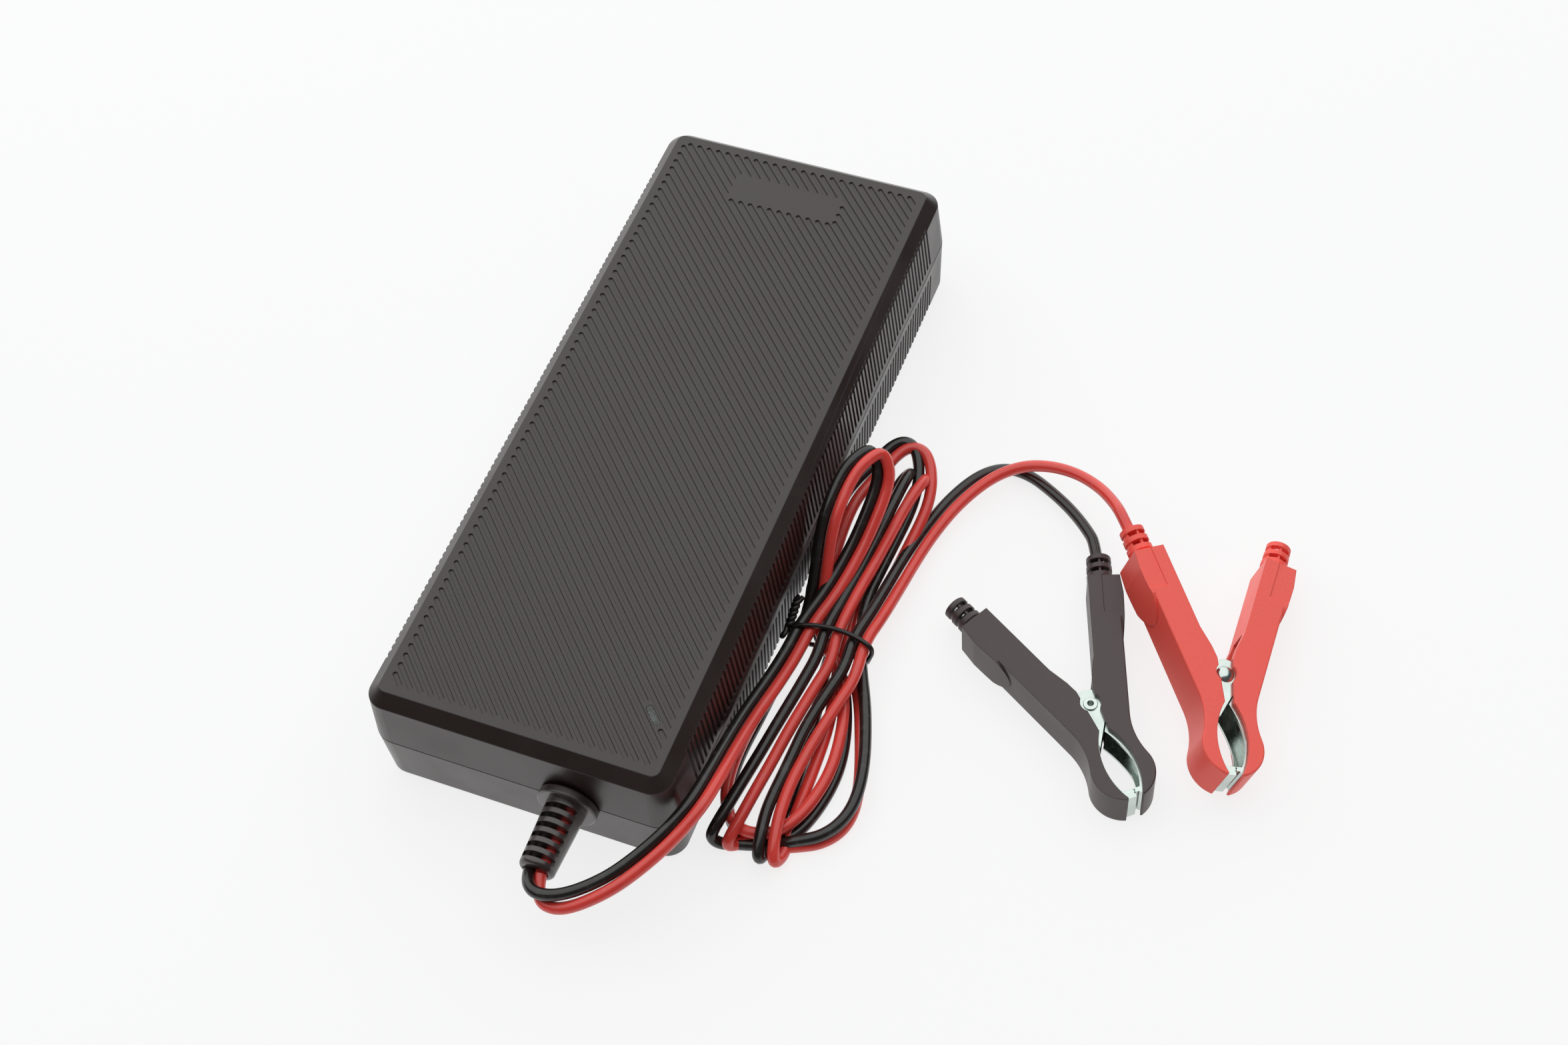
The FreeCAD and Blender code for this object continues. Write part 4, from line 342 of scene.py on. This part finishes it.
class CHARGER_OT_electronics(bpy.types.Operator):
    """Finish the board and the parts on it"""
    bl_idname = "charger.electronics"
    bl_label = "Electronics"

    def execute(self, context):
        screw = plated("Board screw zinc", colour_of("c2beb4"), 0.3)
        metal = plated("Tinned clip brass", colour_of("cbb98a"), 0.3)
        sink = plated("Extruded aluminium", colour_of("b9bbbd"), 0.4, edge=0.0002,
                      brush=(1.0, 12.0, 1.0))
        epoxy = moulded("Black epoxy package", colour_of("1c1c1d"), 0.55, grain=0.0005,
                        depth=0.00002)
        ferrite = moulded("Sintered ferrite", colour_of("34343a"), 0.6, grain=0.0006,
                          depth=0.00005)
        # the dark brown tone between the copper turns is painted shade
        copper = banded("Enamelled copper turns", colour_of("b5622c"), colour_of("4a2210"),
                        0.0008, along="X", roughness=0.25, metallic=0.6)
        finishes = {
            "circuit_board": laminate("Green solder mask", colour_of("1f5a36"),
                                      colour_of("3f8a52")),
            "board_screws": screw,
            "insulation_sheet": moulded("Clear insulating film", colour_of("d9d6c8"), 0.3,
                                        grain=0.004),
            "mains_fuse": clear("Fuse glass", colour_of("e4e8e6"), 0.08, 0.9),
            "fuse_clips": metal,
            "mains_filter_capacitor": moulded("Yellow filter case", colour_of("c9a227"), 0.4,
                                              grain=0.001, depth=0.00002),
            "choke_core": ferrite,
            "choke_winding": copper,
            "bridge_rectifier": epoxy,
            "bulk_capacitor": banded("Shrink sleeve", colour_of("23252e"), colour_of("2c303c"),
                                     0.009, roughness=0.3, depth=0.00002),
            "primary_heat_sink": sink,
            "switching_transistor": epoxy,
            "transformer_core": ferrite,
            "transformer_bobbin": moulded("Bobbin plastic", colour_of("2a2c30"), 0.5,
                                          grain=0.001, depth=0.00002),
            # the darker yellow between the tape turns is painted shade
            "transformer_winding": banded("Yellow winding tape", colour_of("d3b13a"),
                                          colour_of("a98a26"), 0.003, roughness=0.35),
            "output_heat_sink": sink,
            "output_rectifier": epoxy,
            "output_capacitors": banded("Printed sleeve", colour_of("1e2c4e"),
                                        colour_of("26365c"), 0.006, roughness=0.3,
                                        depth=0.00002),
        }
        for node, finish in finishes.items():
            dress(node, finish)
        return {"FINISHED"}


# ---------------------------------------------------------------- cord
BLACK_ROUTE = (
    # out of the strain relief and along the case
    (12.5, -123.6, 18.3), (13.5, -127.4, 19.6), (17.8, -130.1, 20.9), (24.0, -127.8, 20.5),
    (31.6, -120.8, 20.8), (37.2, -113.3, 22.6), (42.2, -105.4, 25.3), (45.4, -96.8, 27.0),
    (45.7, -87.0, 24.9), (45.0, -75.5, 19.6), (44.9, -63.0, 14.7), (45.9, -51.0, 11.2),
    # into the tie
    (46.9, -40.5, 9.6), (47.3, -31.0, 9.4),
    # raised loop
    (50.6, -19.0, 10.6), (52.9, -6.1, 14.0), (54.0, 1.2, 18.0), (54.7, 8.5, 22.0),
    (54.1, 12.6, 26.0), (51.1, 15.3, 29.4), (48.1, 10.0, 30.0), (46.1, 4.5, 28.0),
    (45.4, -3.9, 25.0), (45.4, -9.8, 20.0), (46.0, -15.3, 13.5), (46.8, -22.0, 7.5),
    # inner lower loop
    (46.9, -31.0, 3.3), (46.2, -45.3, 2.4), (45.5, -57.4, 1.7), (44.7, -68.2, 1.7),
    (45.2, -76.6, 1.7), (46.9, -83.7, 1.7), (50.6, -88.8, 1.7), (55.8, -91.2, 1.7),
    (62.0, -90.4, 1.7), (66.8, -85.5, 1.7), (69.1, -78.8, 1.7), (70.4, -71.1, 1.7),
    (70.4, -63.4, 1.7), (68.7, -55.1, 1.7), (65.8, -46.7, 1.8), (61.5, -37.9, 2.4),
    # rear loop
    (52.0, -31.0, 3.3), (44.8, -19.1, 3.6), (44.5, -11.8, 4.2), (43.7, -3.9, 5.0),
    (43.0, 4.4, 6.0), (43.2, 12.3, 7.0), (45.1, 18.9, 7.6), (47.6, 24.4, 8.0), (49.1, 28.7, 8.4),
    (50.9, 32.1, 8.8), (53.3, 34.0, 9.0), (56.1, 33.5, 9.0), (58.4, 30.6, 8.4), (60.6, 25.7, 7.4),
    (61.7, 19.7, 6.4), (61.9, 13.1, 5.6), (61.3, 4.8, 5.0), (60.6, -6.4, 5.0), (60.3, -17.6, 5.8),
    # outer lower loop
    (64.0, -31.0, 6.4), (67.0, -38.0, 5.0), (70.8, -45.8, 4.9), (74.0, -54.1, 4.9),
    (76.5, -61.8, 4.9), (78.0, -69.4, 4.9), (78.1, -76.0, 4.9), (76.4, -81.5, 4.9),
    (73.0, -85.7, 4.6), (68.6, -87.7, 3.6), (63.9, -89.7, 2.4), (58.4, -91.7, 1.8),
    (53.3, -93.1, 1.8), (49.5, -94.5, 2.0), (47.1, -94.5, 4.0),
    # top run and the narrow loop
    (47.7, -92.7, 6.6), (49.0, -86.0, 7.9), (50.0, -78.5, 8.0), (51.1, -70.2, 8.0),
    (52.0, -62.3, 8.0), (53.1, -53.8, 8.1), (54.1, -46.1, 8.4), (55.0, -38.6, 8.9),
    (54.2, -31.0, 9.4), (55.1, -23.5, 9.7), (56.6, -11.0, 10.0), (57.2, -1.3, 10.3),
    (57.7, 7.9, 10.5), (58.1, 16.6, 10.6), (58.3, 22.8, 9.6), (58.1, 25.9, 7.0), (55.8, 24.6, 4.2),
    (54.8, 19.2, 3.0), (55.2, 11.4, 2.6), (55.4, 3.3, 2.6), (55.0, -7.2, 2.7), (54.1, -17.1, 3.0),
    # under the bundle
    (56.4, -31.0, 3.3), (56.9, -39.6, 2.6), (58.6, -49.2, 1.8), (60.3, -59.0, 1.7),
    (61.2, -68.6, 1.7), (61.5, -77.8, 1.7), (61.3, -86.3, 1.7), (61.3, -92.3, 1.8),
    (61.0, -95.8, 3.2),
    # top run back through the tie
    (60.4, -95.6, 5.4), (59.5, -90.7, 7.4), (58.7, -85.0, 7.9), (58.7, -79.5, 8.0),
    (59.0, -73.6, 8.0), (59.2, -67.2, 8.0), (59.4, -60.6, 8.1), (60.2, -54.0, 8.3),
    (61.6, -46.9, 8.7), (63.0, -40.1, 9.1), (62.2, -31.0, 9.4), (63.6, -21.0, 8.2),
    # to the clip
    (64.2, -11.0, 6.2), (65.1, 1.6, 4.2), (67.0, 13.8, 2.6), (70.3, 25.8, 1.8), (75.2, 35.0, 1.7),
    (81.4, 39.4, 1.7), (88.6, 38.7, 1.9), (95.6, 35.0, 2.6), (102.4, 30.4, 3.6),
    (108.4, 24.9, 5.0),
    # into the boot of the clip
    (113.4, 19.1, 6.0), (121.9, -3.4, 6.0),
)
RED_ROUTE = (
    # out of the strain relief and along the case
    (15.7, -123.6, 18.3), (16.1, -127.1, 17.3), (19.0, -130.7, 16.9), (25.2, -130.4, 18.2),
    (33.6, -123.4, 19.9), (39.6, -115.6, 22.2), (44.8, -107.2, 25.1), (48.5, -97.6, 27.2),
    (49.0, -87.0, 25.1), (48.3, -75.5, 19.9), (48.2, -63.0, 14.9), (49.2, -51.0, 11.3),
    # into the tie
    (50.1, -40.5, 9.6), (50.5, -31.0, 9.4),
    # raised loop
    (53.8, -19.0, 10.6), (56.1, -6.1, 14.0), (57.2, 1.2, 18.0), (57.9, 8.5, 22.0),
    (57.3, 12.6, 26.0), (54.3, 15.3, 29.4), (51.3, 10.0, 30.0), (49.3, 4.5, 28.0),
    (48.6, -3.9, 25.0), (48.6, -9.8, 20.0), (49.2, -15.3, 13.5), (50.0, -22.0, 7.5),
    # inner lower loop
    (47.2, -31.0, 6.4), (45.8, -45.6, 5.4), (45.3, -57.3, 4.9), (44.7, -67.8, 4.9),
    (45.0, -76.0, 4.9), (46.5, -82.8, 4.9), (49.6, -88.1, 4.9), (54.0, -90.6, 4.9),
    (58.8, -90.0, 4.9), (63.5, -87.2, 4.9), (66.7, -81.4, 4.9), (68.5, -74.7, 4.9),
    (69.3, -67.2, 4.9), (68.6, -59.1, 4.9), (66.6, -50.0, 4.9), (62.0, -39.5, 5.2),
    # rear loop
    (52.2, -31.0, 6.4), (48.2, -19.8, 4.6), (47.9, -11.9, 5.0), (47.2, -4.3, 5.6),
    (46.6, 4.1, 6.4), (46.9, 12.3, 7.2), (48.9, 18.6, 7.8), (51.2, 24.1, 8.2), (52.7, 28.6, 8.6),
    (54.6, 31.6, 9.0), (57.1, 32.9, 9.2), (60.1, 32.2, 9.0), (62.7, 29.0, 8.4), (64.6, 24.7, 7.4),
    (65.7, 19.3, 6.2), (65.7, 13.2, 5.0), (64.9, 4.9, 4.0), (64.0, -5.4, 3.2), (63.4, -15.4, 3.2),
    # outer lower loop
    (64.4, -31.0, 3.2), (65.2, -38.4, 1.8), (69.2, -45.9, 1.7), (72.3, -53.8, 1.7),
    (75.2, -61.7, 1.7), (77.4, -69.1, 1.7), (78.3, -76.0, 1.7), (77.0, -81.6, 1.7),
    (73.4, -86.0, 1.7), (68.8, -88.4, 1.7), (63.8, -90.5, 1.7), (58.1, -90.6, 1.7),
    (55.1, -91.2, 1.7), (53.3, -93.5, 1.8), (51.7, -95.0, 3.6),
    # top run and the narrow loop
    (52.2, -93.9, 6.0), (53.2, -88.4, 7.7), (53.9, -81.1, 8.0), (54.9, -71.9, 8.0),
    (55.6, -62.7, 8.0), (56.6, -54.7, 8.1), (57.8, -46.7, 8.4), (59.1, -39.2, 8.9),
    (57.6, -31.0, 9.4), (58.4, -18.2, 9.7), (59.6, -8.4, 10.0), (60.5, 2.3, 10.3),
    (61.2, 11.0, 10.5), (62.2, 17.8, 10.5), (63.0, 22.6, 9.4), (62.8, 25.3, 7.0),
    (60.6, 23.8, 4.2), (59.5, 18.4, 3.0), (59.4, 11.0, 2.6), (59.2, 2.5, 2.6), (58.2, -7.9, 2.7),
    (57.4, -17.8, 3.0),
    # under the bundle
    (59.6, -31.0, 3.3), (60.3, -38.8, 3.2), (62.6, -47.7, 3.4), (63.9, -55.7, 3.4),
    (64.4, -61.9, 3.4), (64.6, -67.7, 3.2), (64.7, -73.3, 2.8), (64.6, -79.4, 2.2),
    (64.9, -85.9, 1.8), (65.7, -90.7, 1.8), (65.4, -94.4, 2.6),
    # top run back through the tie
    (64.6, -96.0, 4.8), (63.4, -91.6, 7.2), (62.3, -85.5, 7.9), (61.8, -79.6, 8.0),
    (61.8, -73.8, 8.0), (62.3, -68.0, 8.0), (63.0, -61.8, 8.1), (64.1, -55.4, 8.3),
    (65.4, -48.7, 8.7), (66.7, -42.0, 9.1), (65.4, -31.0, 9.4), (66.8, -22.0, 8.2),
    # to the clip
    (67.6, -11.9, 6.4), (68.5, 0.4, 4.6), (70.1, 11.4, 3.8), (73.4, 22.3, 4.2), (79.0, 32.3, 5.2),
    (86.0, 38.2, 6.2), (93.9, 39.4, 8.0), (102.0, 37.6, 10.4), (109.2, 33.6, 12.8),
    (114.6, 28.4, 15.4),
    # into the boot of the clip
    (119.1, 22.5, 18.0), (134.1, 4.0, 14.8),
)


def wire(name, routes, thick, finish):
    """A round wire or conductor along each of its routes, which are points in millimetres."""
    line = bpy.data.curves.new(name, "CURVE")
    line.dimensions = "3D"
    for route in routes:
        run = line.splines.new("NURBS")
        run.points.add(len(route) - 1)
        for point, place in zip(run.points, route):
            point.co = (*(Vector(place) * MM), 1.0)
        run.order_u = 3
        run.use_endpoint_u = True
        run.resolution_u = CORD_STEPS
    line.bevel_depth = thick / 2
    line.bevel_resolution = CORD_SIDES
    line.use_fill_caps = True
    line.materials.append(finish)
    piece = bpy.data.objects.new(name, line)
    bpy.context.scene.collection.objects.link(piece)
    return piece


class CHARGER_OT_cord(bpy.types.Operator):
    """Lay the bonded twin output cord, from the strain relief through the hank to the clips"""
    bl_idname = "charger.cord"
    bl_label = "Output cord"

    def execute(self, context):
        sizes, colours = settings()
        kinds = (("black", BLACK_ROUTE, colours.black_sheath, sizes.black_length,
                  ("black_lead_start", "cord_hank", "black_lead_end")),
                 ("red", RED_ROUTE, colours.red_sheath, sizes.red_length,
                  ("red_lead_start", "red_lead_end")))
        for name, route, base, long, nodes in kinds:
            finish = sheathed(f"{name.capitalize()} cord sheath", base)
            piece = wire(f"{name}_cord", [route], sizes.cord_diameter, finish)
            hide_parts(*nodes)
            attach(piece, "charger")
            dress(f"{name}_inner_lead", finish)
        return {"FINISHED"}


TIE_RING = (
    # over the top of the hank, from the case outwards
    (47.4, -32.9, 11.3), (49.4, -32.4, 11.8), (52.5, -31.6, 11.8), (56.0, -31.1, 11.8),
    (60.0, -31.1, 11.8), (64.0, -31.8, 11.8), (66.5, -32.6, 11.8), (68.1, -33.1, 10.9),
    (68.3, -33.4, 9.0), (67.6, -33.5, 6.6), (66.9, -33.2, 4.0), (66.2, -32.4, 1.6),
    # under it and back up the near side
    (63.6, -31.5, 0.8), (58.0, -31.2, 0.8), (52.0, -31.2, 0.8), (48.4, -31.6, 0.8),
    (45.6, -32.4, 1.3), (44.7, -32.8, 3.6), (44.6, -33.1, 6.4), (44.7, -33.2, 8.6),
)
TIE_HOOK = (
    # the second end: round in a small hook before it joins the twist
    (44.4, -34.3, 8.9), (44.1, -35.6, 9.2), (44.3, -36.8, 9.9), (44.9, -36.8, 10.8),
    (45.1, -35.4, 11.0),
)
# the line that the two ends twist about, and the cut tips
TIE_AXIS = ((45.2, -33.6, 10.6), (45.3, -27.4, 14.0))
TIE_ENDS = ((45.6, -26.2, 14.9), (46.6, -25.9, 14.5))


def twisted(first, last, radius, phase):
    """Points of one wire of a twisted pair about an axis, in millimetres."""
    first, last = Vector(first), Vector(last)
    along = (last - first).normalized()
    side = along.cross(Vector((0.0, 0.0, 1.0))).normalized()
    other = along.cross(side)
    count = int(TWIST_STEPS * TWIST_TURNS)
    points = []
    for step in range(count + 1):
        angle = 2 * math.pi * TWIST_TURNS * step / count + phase
        out = (side * math.cos(angle) + other * math.sin(angle)) * radius
        points.append(tuple(first.lerp(last, step / count) + out))
    return points


class CHARGER_OT_twist_tie(bpy.types.Operator):
    """Wind the wire tie round the hank and twist its ends together"""
    bl_idname = "charger.twist_tie"
    bl_label = "Twist tie"

    def execute(self, context):
        tie_wire = settings()[0].tie_wire
        finish = moulded("Tie coating", colour_of("191514"), 0.32, grain=0.0009, depth=0.00001,
                         edge=0.0)
        radius = TWIST_RADIUS_SHARE * tie_wire / MM
        pairs = [twisted(*TIE_AXIS, radius, phase) for phase in (0.0, math.pi)]
        first = [*reversed(TIE_RING[:3]), *pairs[0], TIE_ENDS[0]]
        second = [TIE_RING[-1], *TIE_HOOK, *pairs[1], TIE_ENDS[1]]
        piece = wire("tie", [TIE_RING, first, second], tie_wire, finish)
        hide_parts("twist_tie")
        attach(piece, "charger")
        return {"FINISHED"}


def spring(name, finish):
    """A clip's spring, with a leg on each arm: the carried mesh copied, merged and shaded smooth.
    """
    node = f"{name}_clip_spring"
    shape = bmesh.new()
    shape.from_mesh(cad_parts[node].data)
    bmesh.ops.remove_doubles(shape, verts=shape.verts, dist=MERGE_DISTANCE)
    for face in shape.faces:
        face.smooth = True
    mesh = bpy.data.meshes.new(f"{name}_spring")
    shape.to_mesh(mesh)
    shape.free()
    mesh.set_sharp_from_angle(angle=SPRING_SHARP_EDGE)
    mesh.materials.clear()
    mesh.materials.append(finish)
    piece = bpy.data.objects.new(f"{name}_spring", mesh)
    bpy.context.scene.collection.objects.link(piece)
    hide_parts(node)
    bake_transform(piece)


class CHARGER_OT_clips(bpy.types.Operator):
    """Finish the two spring clips, and give each spring a smooth copy of its mesh"""
    bl_idname = "charger.clips"
    bl_label = "Spring clips"

    def execute(self, context):
        sizes, colours = settings()
        steel = plated("Nickel plated steel", colours.steel, 0.2)
        coiled = plated("Spring wire", colour_of("a8a6a2"), 0.25)
        for name, base in (("black", colours.black_sleeve), ("red", colours.red_sleeve)):
            sleeve = moulded(f"{name.capitalize()} sleeve plastic", base, 0.42, grain=0.0006,
                             depth=0.00002, tint=0.05, edge=sizes.clip_edge)
            for arm in ("fixed", "moving"):
                dress(f"{name}_clip_{arm}_cover", sleeve)
                dress(f"{name}_clip_{arm}_arm", steel)
            dress(f"{name}_clip_rivet", steel)
            spring(name, coiled)
        return {"FINISHED"}


# ---------------------------------------------------------------- stage
def lamp(name, spot, aim, size, power, tone):
    """A soft rectangular lamp at a spot, turned towards an aim."""
    light = bpy.data.lights.new(name, "AREA")
    light.shape = "RECTANGLE"
    light.size, light.size_y = size
    light.energy = power
    light.color = tone
    made = bpy.data.objects.new(name, light)
    made.location = spot
    made.rotation_euler = (Vector(aim) - Vector(spot)).to_track_quat("-Z", "Y").to_euler()
    bpy.context.scene.collection.objects.link(made)


def backdrop_finish(glow_share):
    """A white table that glows from within, and still takes a faint shadow."""
    made = Finish("White table")
    cloud = made.noise(0.3, 2.0)
    made.set(Base_Color=made.mix(made.levels(cloud, 0.0, 1.0), *FLOOR_TONES), Roughness=0.9,
             Specular_IOR_Level=0.1)
    glow = made.node("Emission", Color=WHITE, Strength=1.0)
    joined = made.node("MixShader")
    made.feed(joined.inputs[0], glow_share)
    made.feed(joined.inputs[1], made.shader.outputs[0])
    made.feed(joined.inputs[2], glow.outputs[0])
    made.feed(made.tree.nodes["Material Output"].inputs["Surface"], joined.outputs[0])
    return made.material


def studio(level, tone):
    """Surroundings that are white to the eye and dim to everything else."""
    world = bpy.data.worlds.new("Studio")
    world.use_nodes = True
    tree = world.node_tree
    eye = tree.nodes.new("ShaderNodeLightPath").outputs["Is Camera Ray"]
    dim = tree.nodes["Background"]
    dim.inputs["Color"].default_value = (*tone, 1.0)
    dim.inputs["Strength"].default_value = level
    white = tree.nodes.new("ShaderNodeBackground")
    white.inputs["Color"].default_value = (*WHITE, 1.0)
    joined = tree.nodes.new("ShaderNodeMixShader")
    tree.links.new(eye, joined.inputs[0])
    tree.links.new(dim.outputs[0], joined.inputs[1])
    tree.links.new(white.outputs[0], joined.inputs[2])
    tree.links.new(joined.outputs[0], tree.nodes["World Output"].inputs["Surface"])
    return world


class CHARGER_OT_stage(bpy.types.Operator):
    """Lay the glowing floor, hang the soft lamp, dim the room and stand the camera"""
    bl_idname = "charger.stage"
    bl_label = "Stage"

    def execute(self, context):
        scene = bpy.context.scene
        floor = bpy.data.meshes.new("floor")
        form = bmesh.new()
        bmesh.ops.create_grid(form, x_segments=1, y_segments=1, size=FLOOR_REACH)
        form.to_mesh(floor)
        form.free()
        floor.materials.append(backdrop_finish(FLOOR_GLOW))
        made = bpy.data.objects.new("floor", floor)
        scene.collection.objects.link(made)
        lamp("Softbox over", LAMP_SPOT, LAMP_AIM, LAMP_SIZE, LAMP_POWER, LAMP_TONE)
        scene.world = studio(ROOM_LEVEL, ROOM_TONE)
        scene.view_settings.view_transform = "Standard"
        camera = bpy.data.cameras.new("Camera")
        camera.sensor_width = CAMERA_SENSOR
        camera.lens = CAMERA_LENS
        camera.clip_start, camera.clip_end = CAMERA_RANGE
        stand = bpy.data.objects.new("Camera", camera)
        turn = Matrix((CAMERA_ACROSS, CAMERA_UP, CAMERA_BACK)).transposed().to_4x4()
        stand.matrix_world = Matrix.Translation(CAMERA_SPOT) @ turn
        scene.collection.objects.link(stand)
        scene.camera = stand
        return {"FINISHED"}


# ---------------------------------------------------------------- panel
OPERATORS = (CHARGER_OT_case, CHARGER_OT_strain_relief, CHARGER_OT_mains_inlet,
             CHARGER_OT_electronics, CHARGER_OT_cord, CHARGER_OT_twist_tie, CHARGER_OT_clips,
             CHARGER_OT_stage)


class CHARGER_PT_panel(bpy.types.Panel):
    """Lists the charger's sizes, colours and pieces"""
    bl_label = "Battery charger"
    bl_idname = "CHARGER_PT_panel"
    bl_space_type = "VIEW_3D"
    bl_region_type = "UI"
    bl_category = "Charger"

    def draw(self, context):
        for group in settings():
            column = self.layout.column(align=True)
            for name in group.bl_rna.properties.keys():
                if name not in ("rna_type", "name"):
                    column.prop(group, name)
        for operator in OPERATORS:
            self.layout.operator(operator.bl_idname)


CLASSES = (ChargerSizes, ChargerColours, *OPERATORS, CHARGER_PT_panel)


def register():
    for made in CLASSES:
        bpy.utils.register_class(made)
    bpy.types.Scene.charger_sizes = PointerProperty(type=ChargerSizes)
    bpy.types.Scene.charger_colours = PointerProperty(type=ChargerColours)


def unregister():
    del bpy.types.Scene.charger_colours
    del bpy.types.Scene.charger_sizes
    for made in reversed(CLASSES):
        bpy.utils.unregister_class(made)


def main():
    register()
    bpy.ops.charger.case()
    bpy.ops.charger.strain_relief()
    bpy.ops.charger.mains_inlet()
    bpy.ops.charger.electronics()
    bpy.ops.charger.cord()
    bpy.ops.charger.twist_tie()
    bpy.ops.charger.clips()
    bpy.ops.charger.stage()


if __name__ == "__main__":
    main()
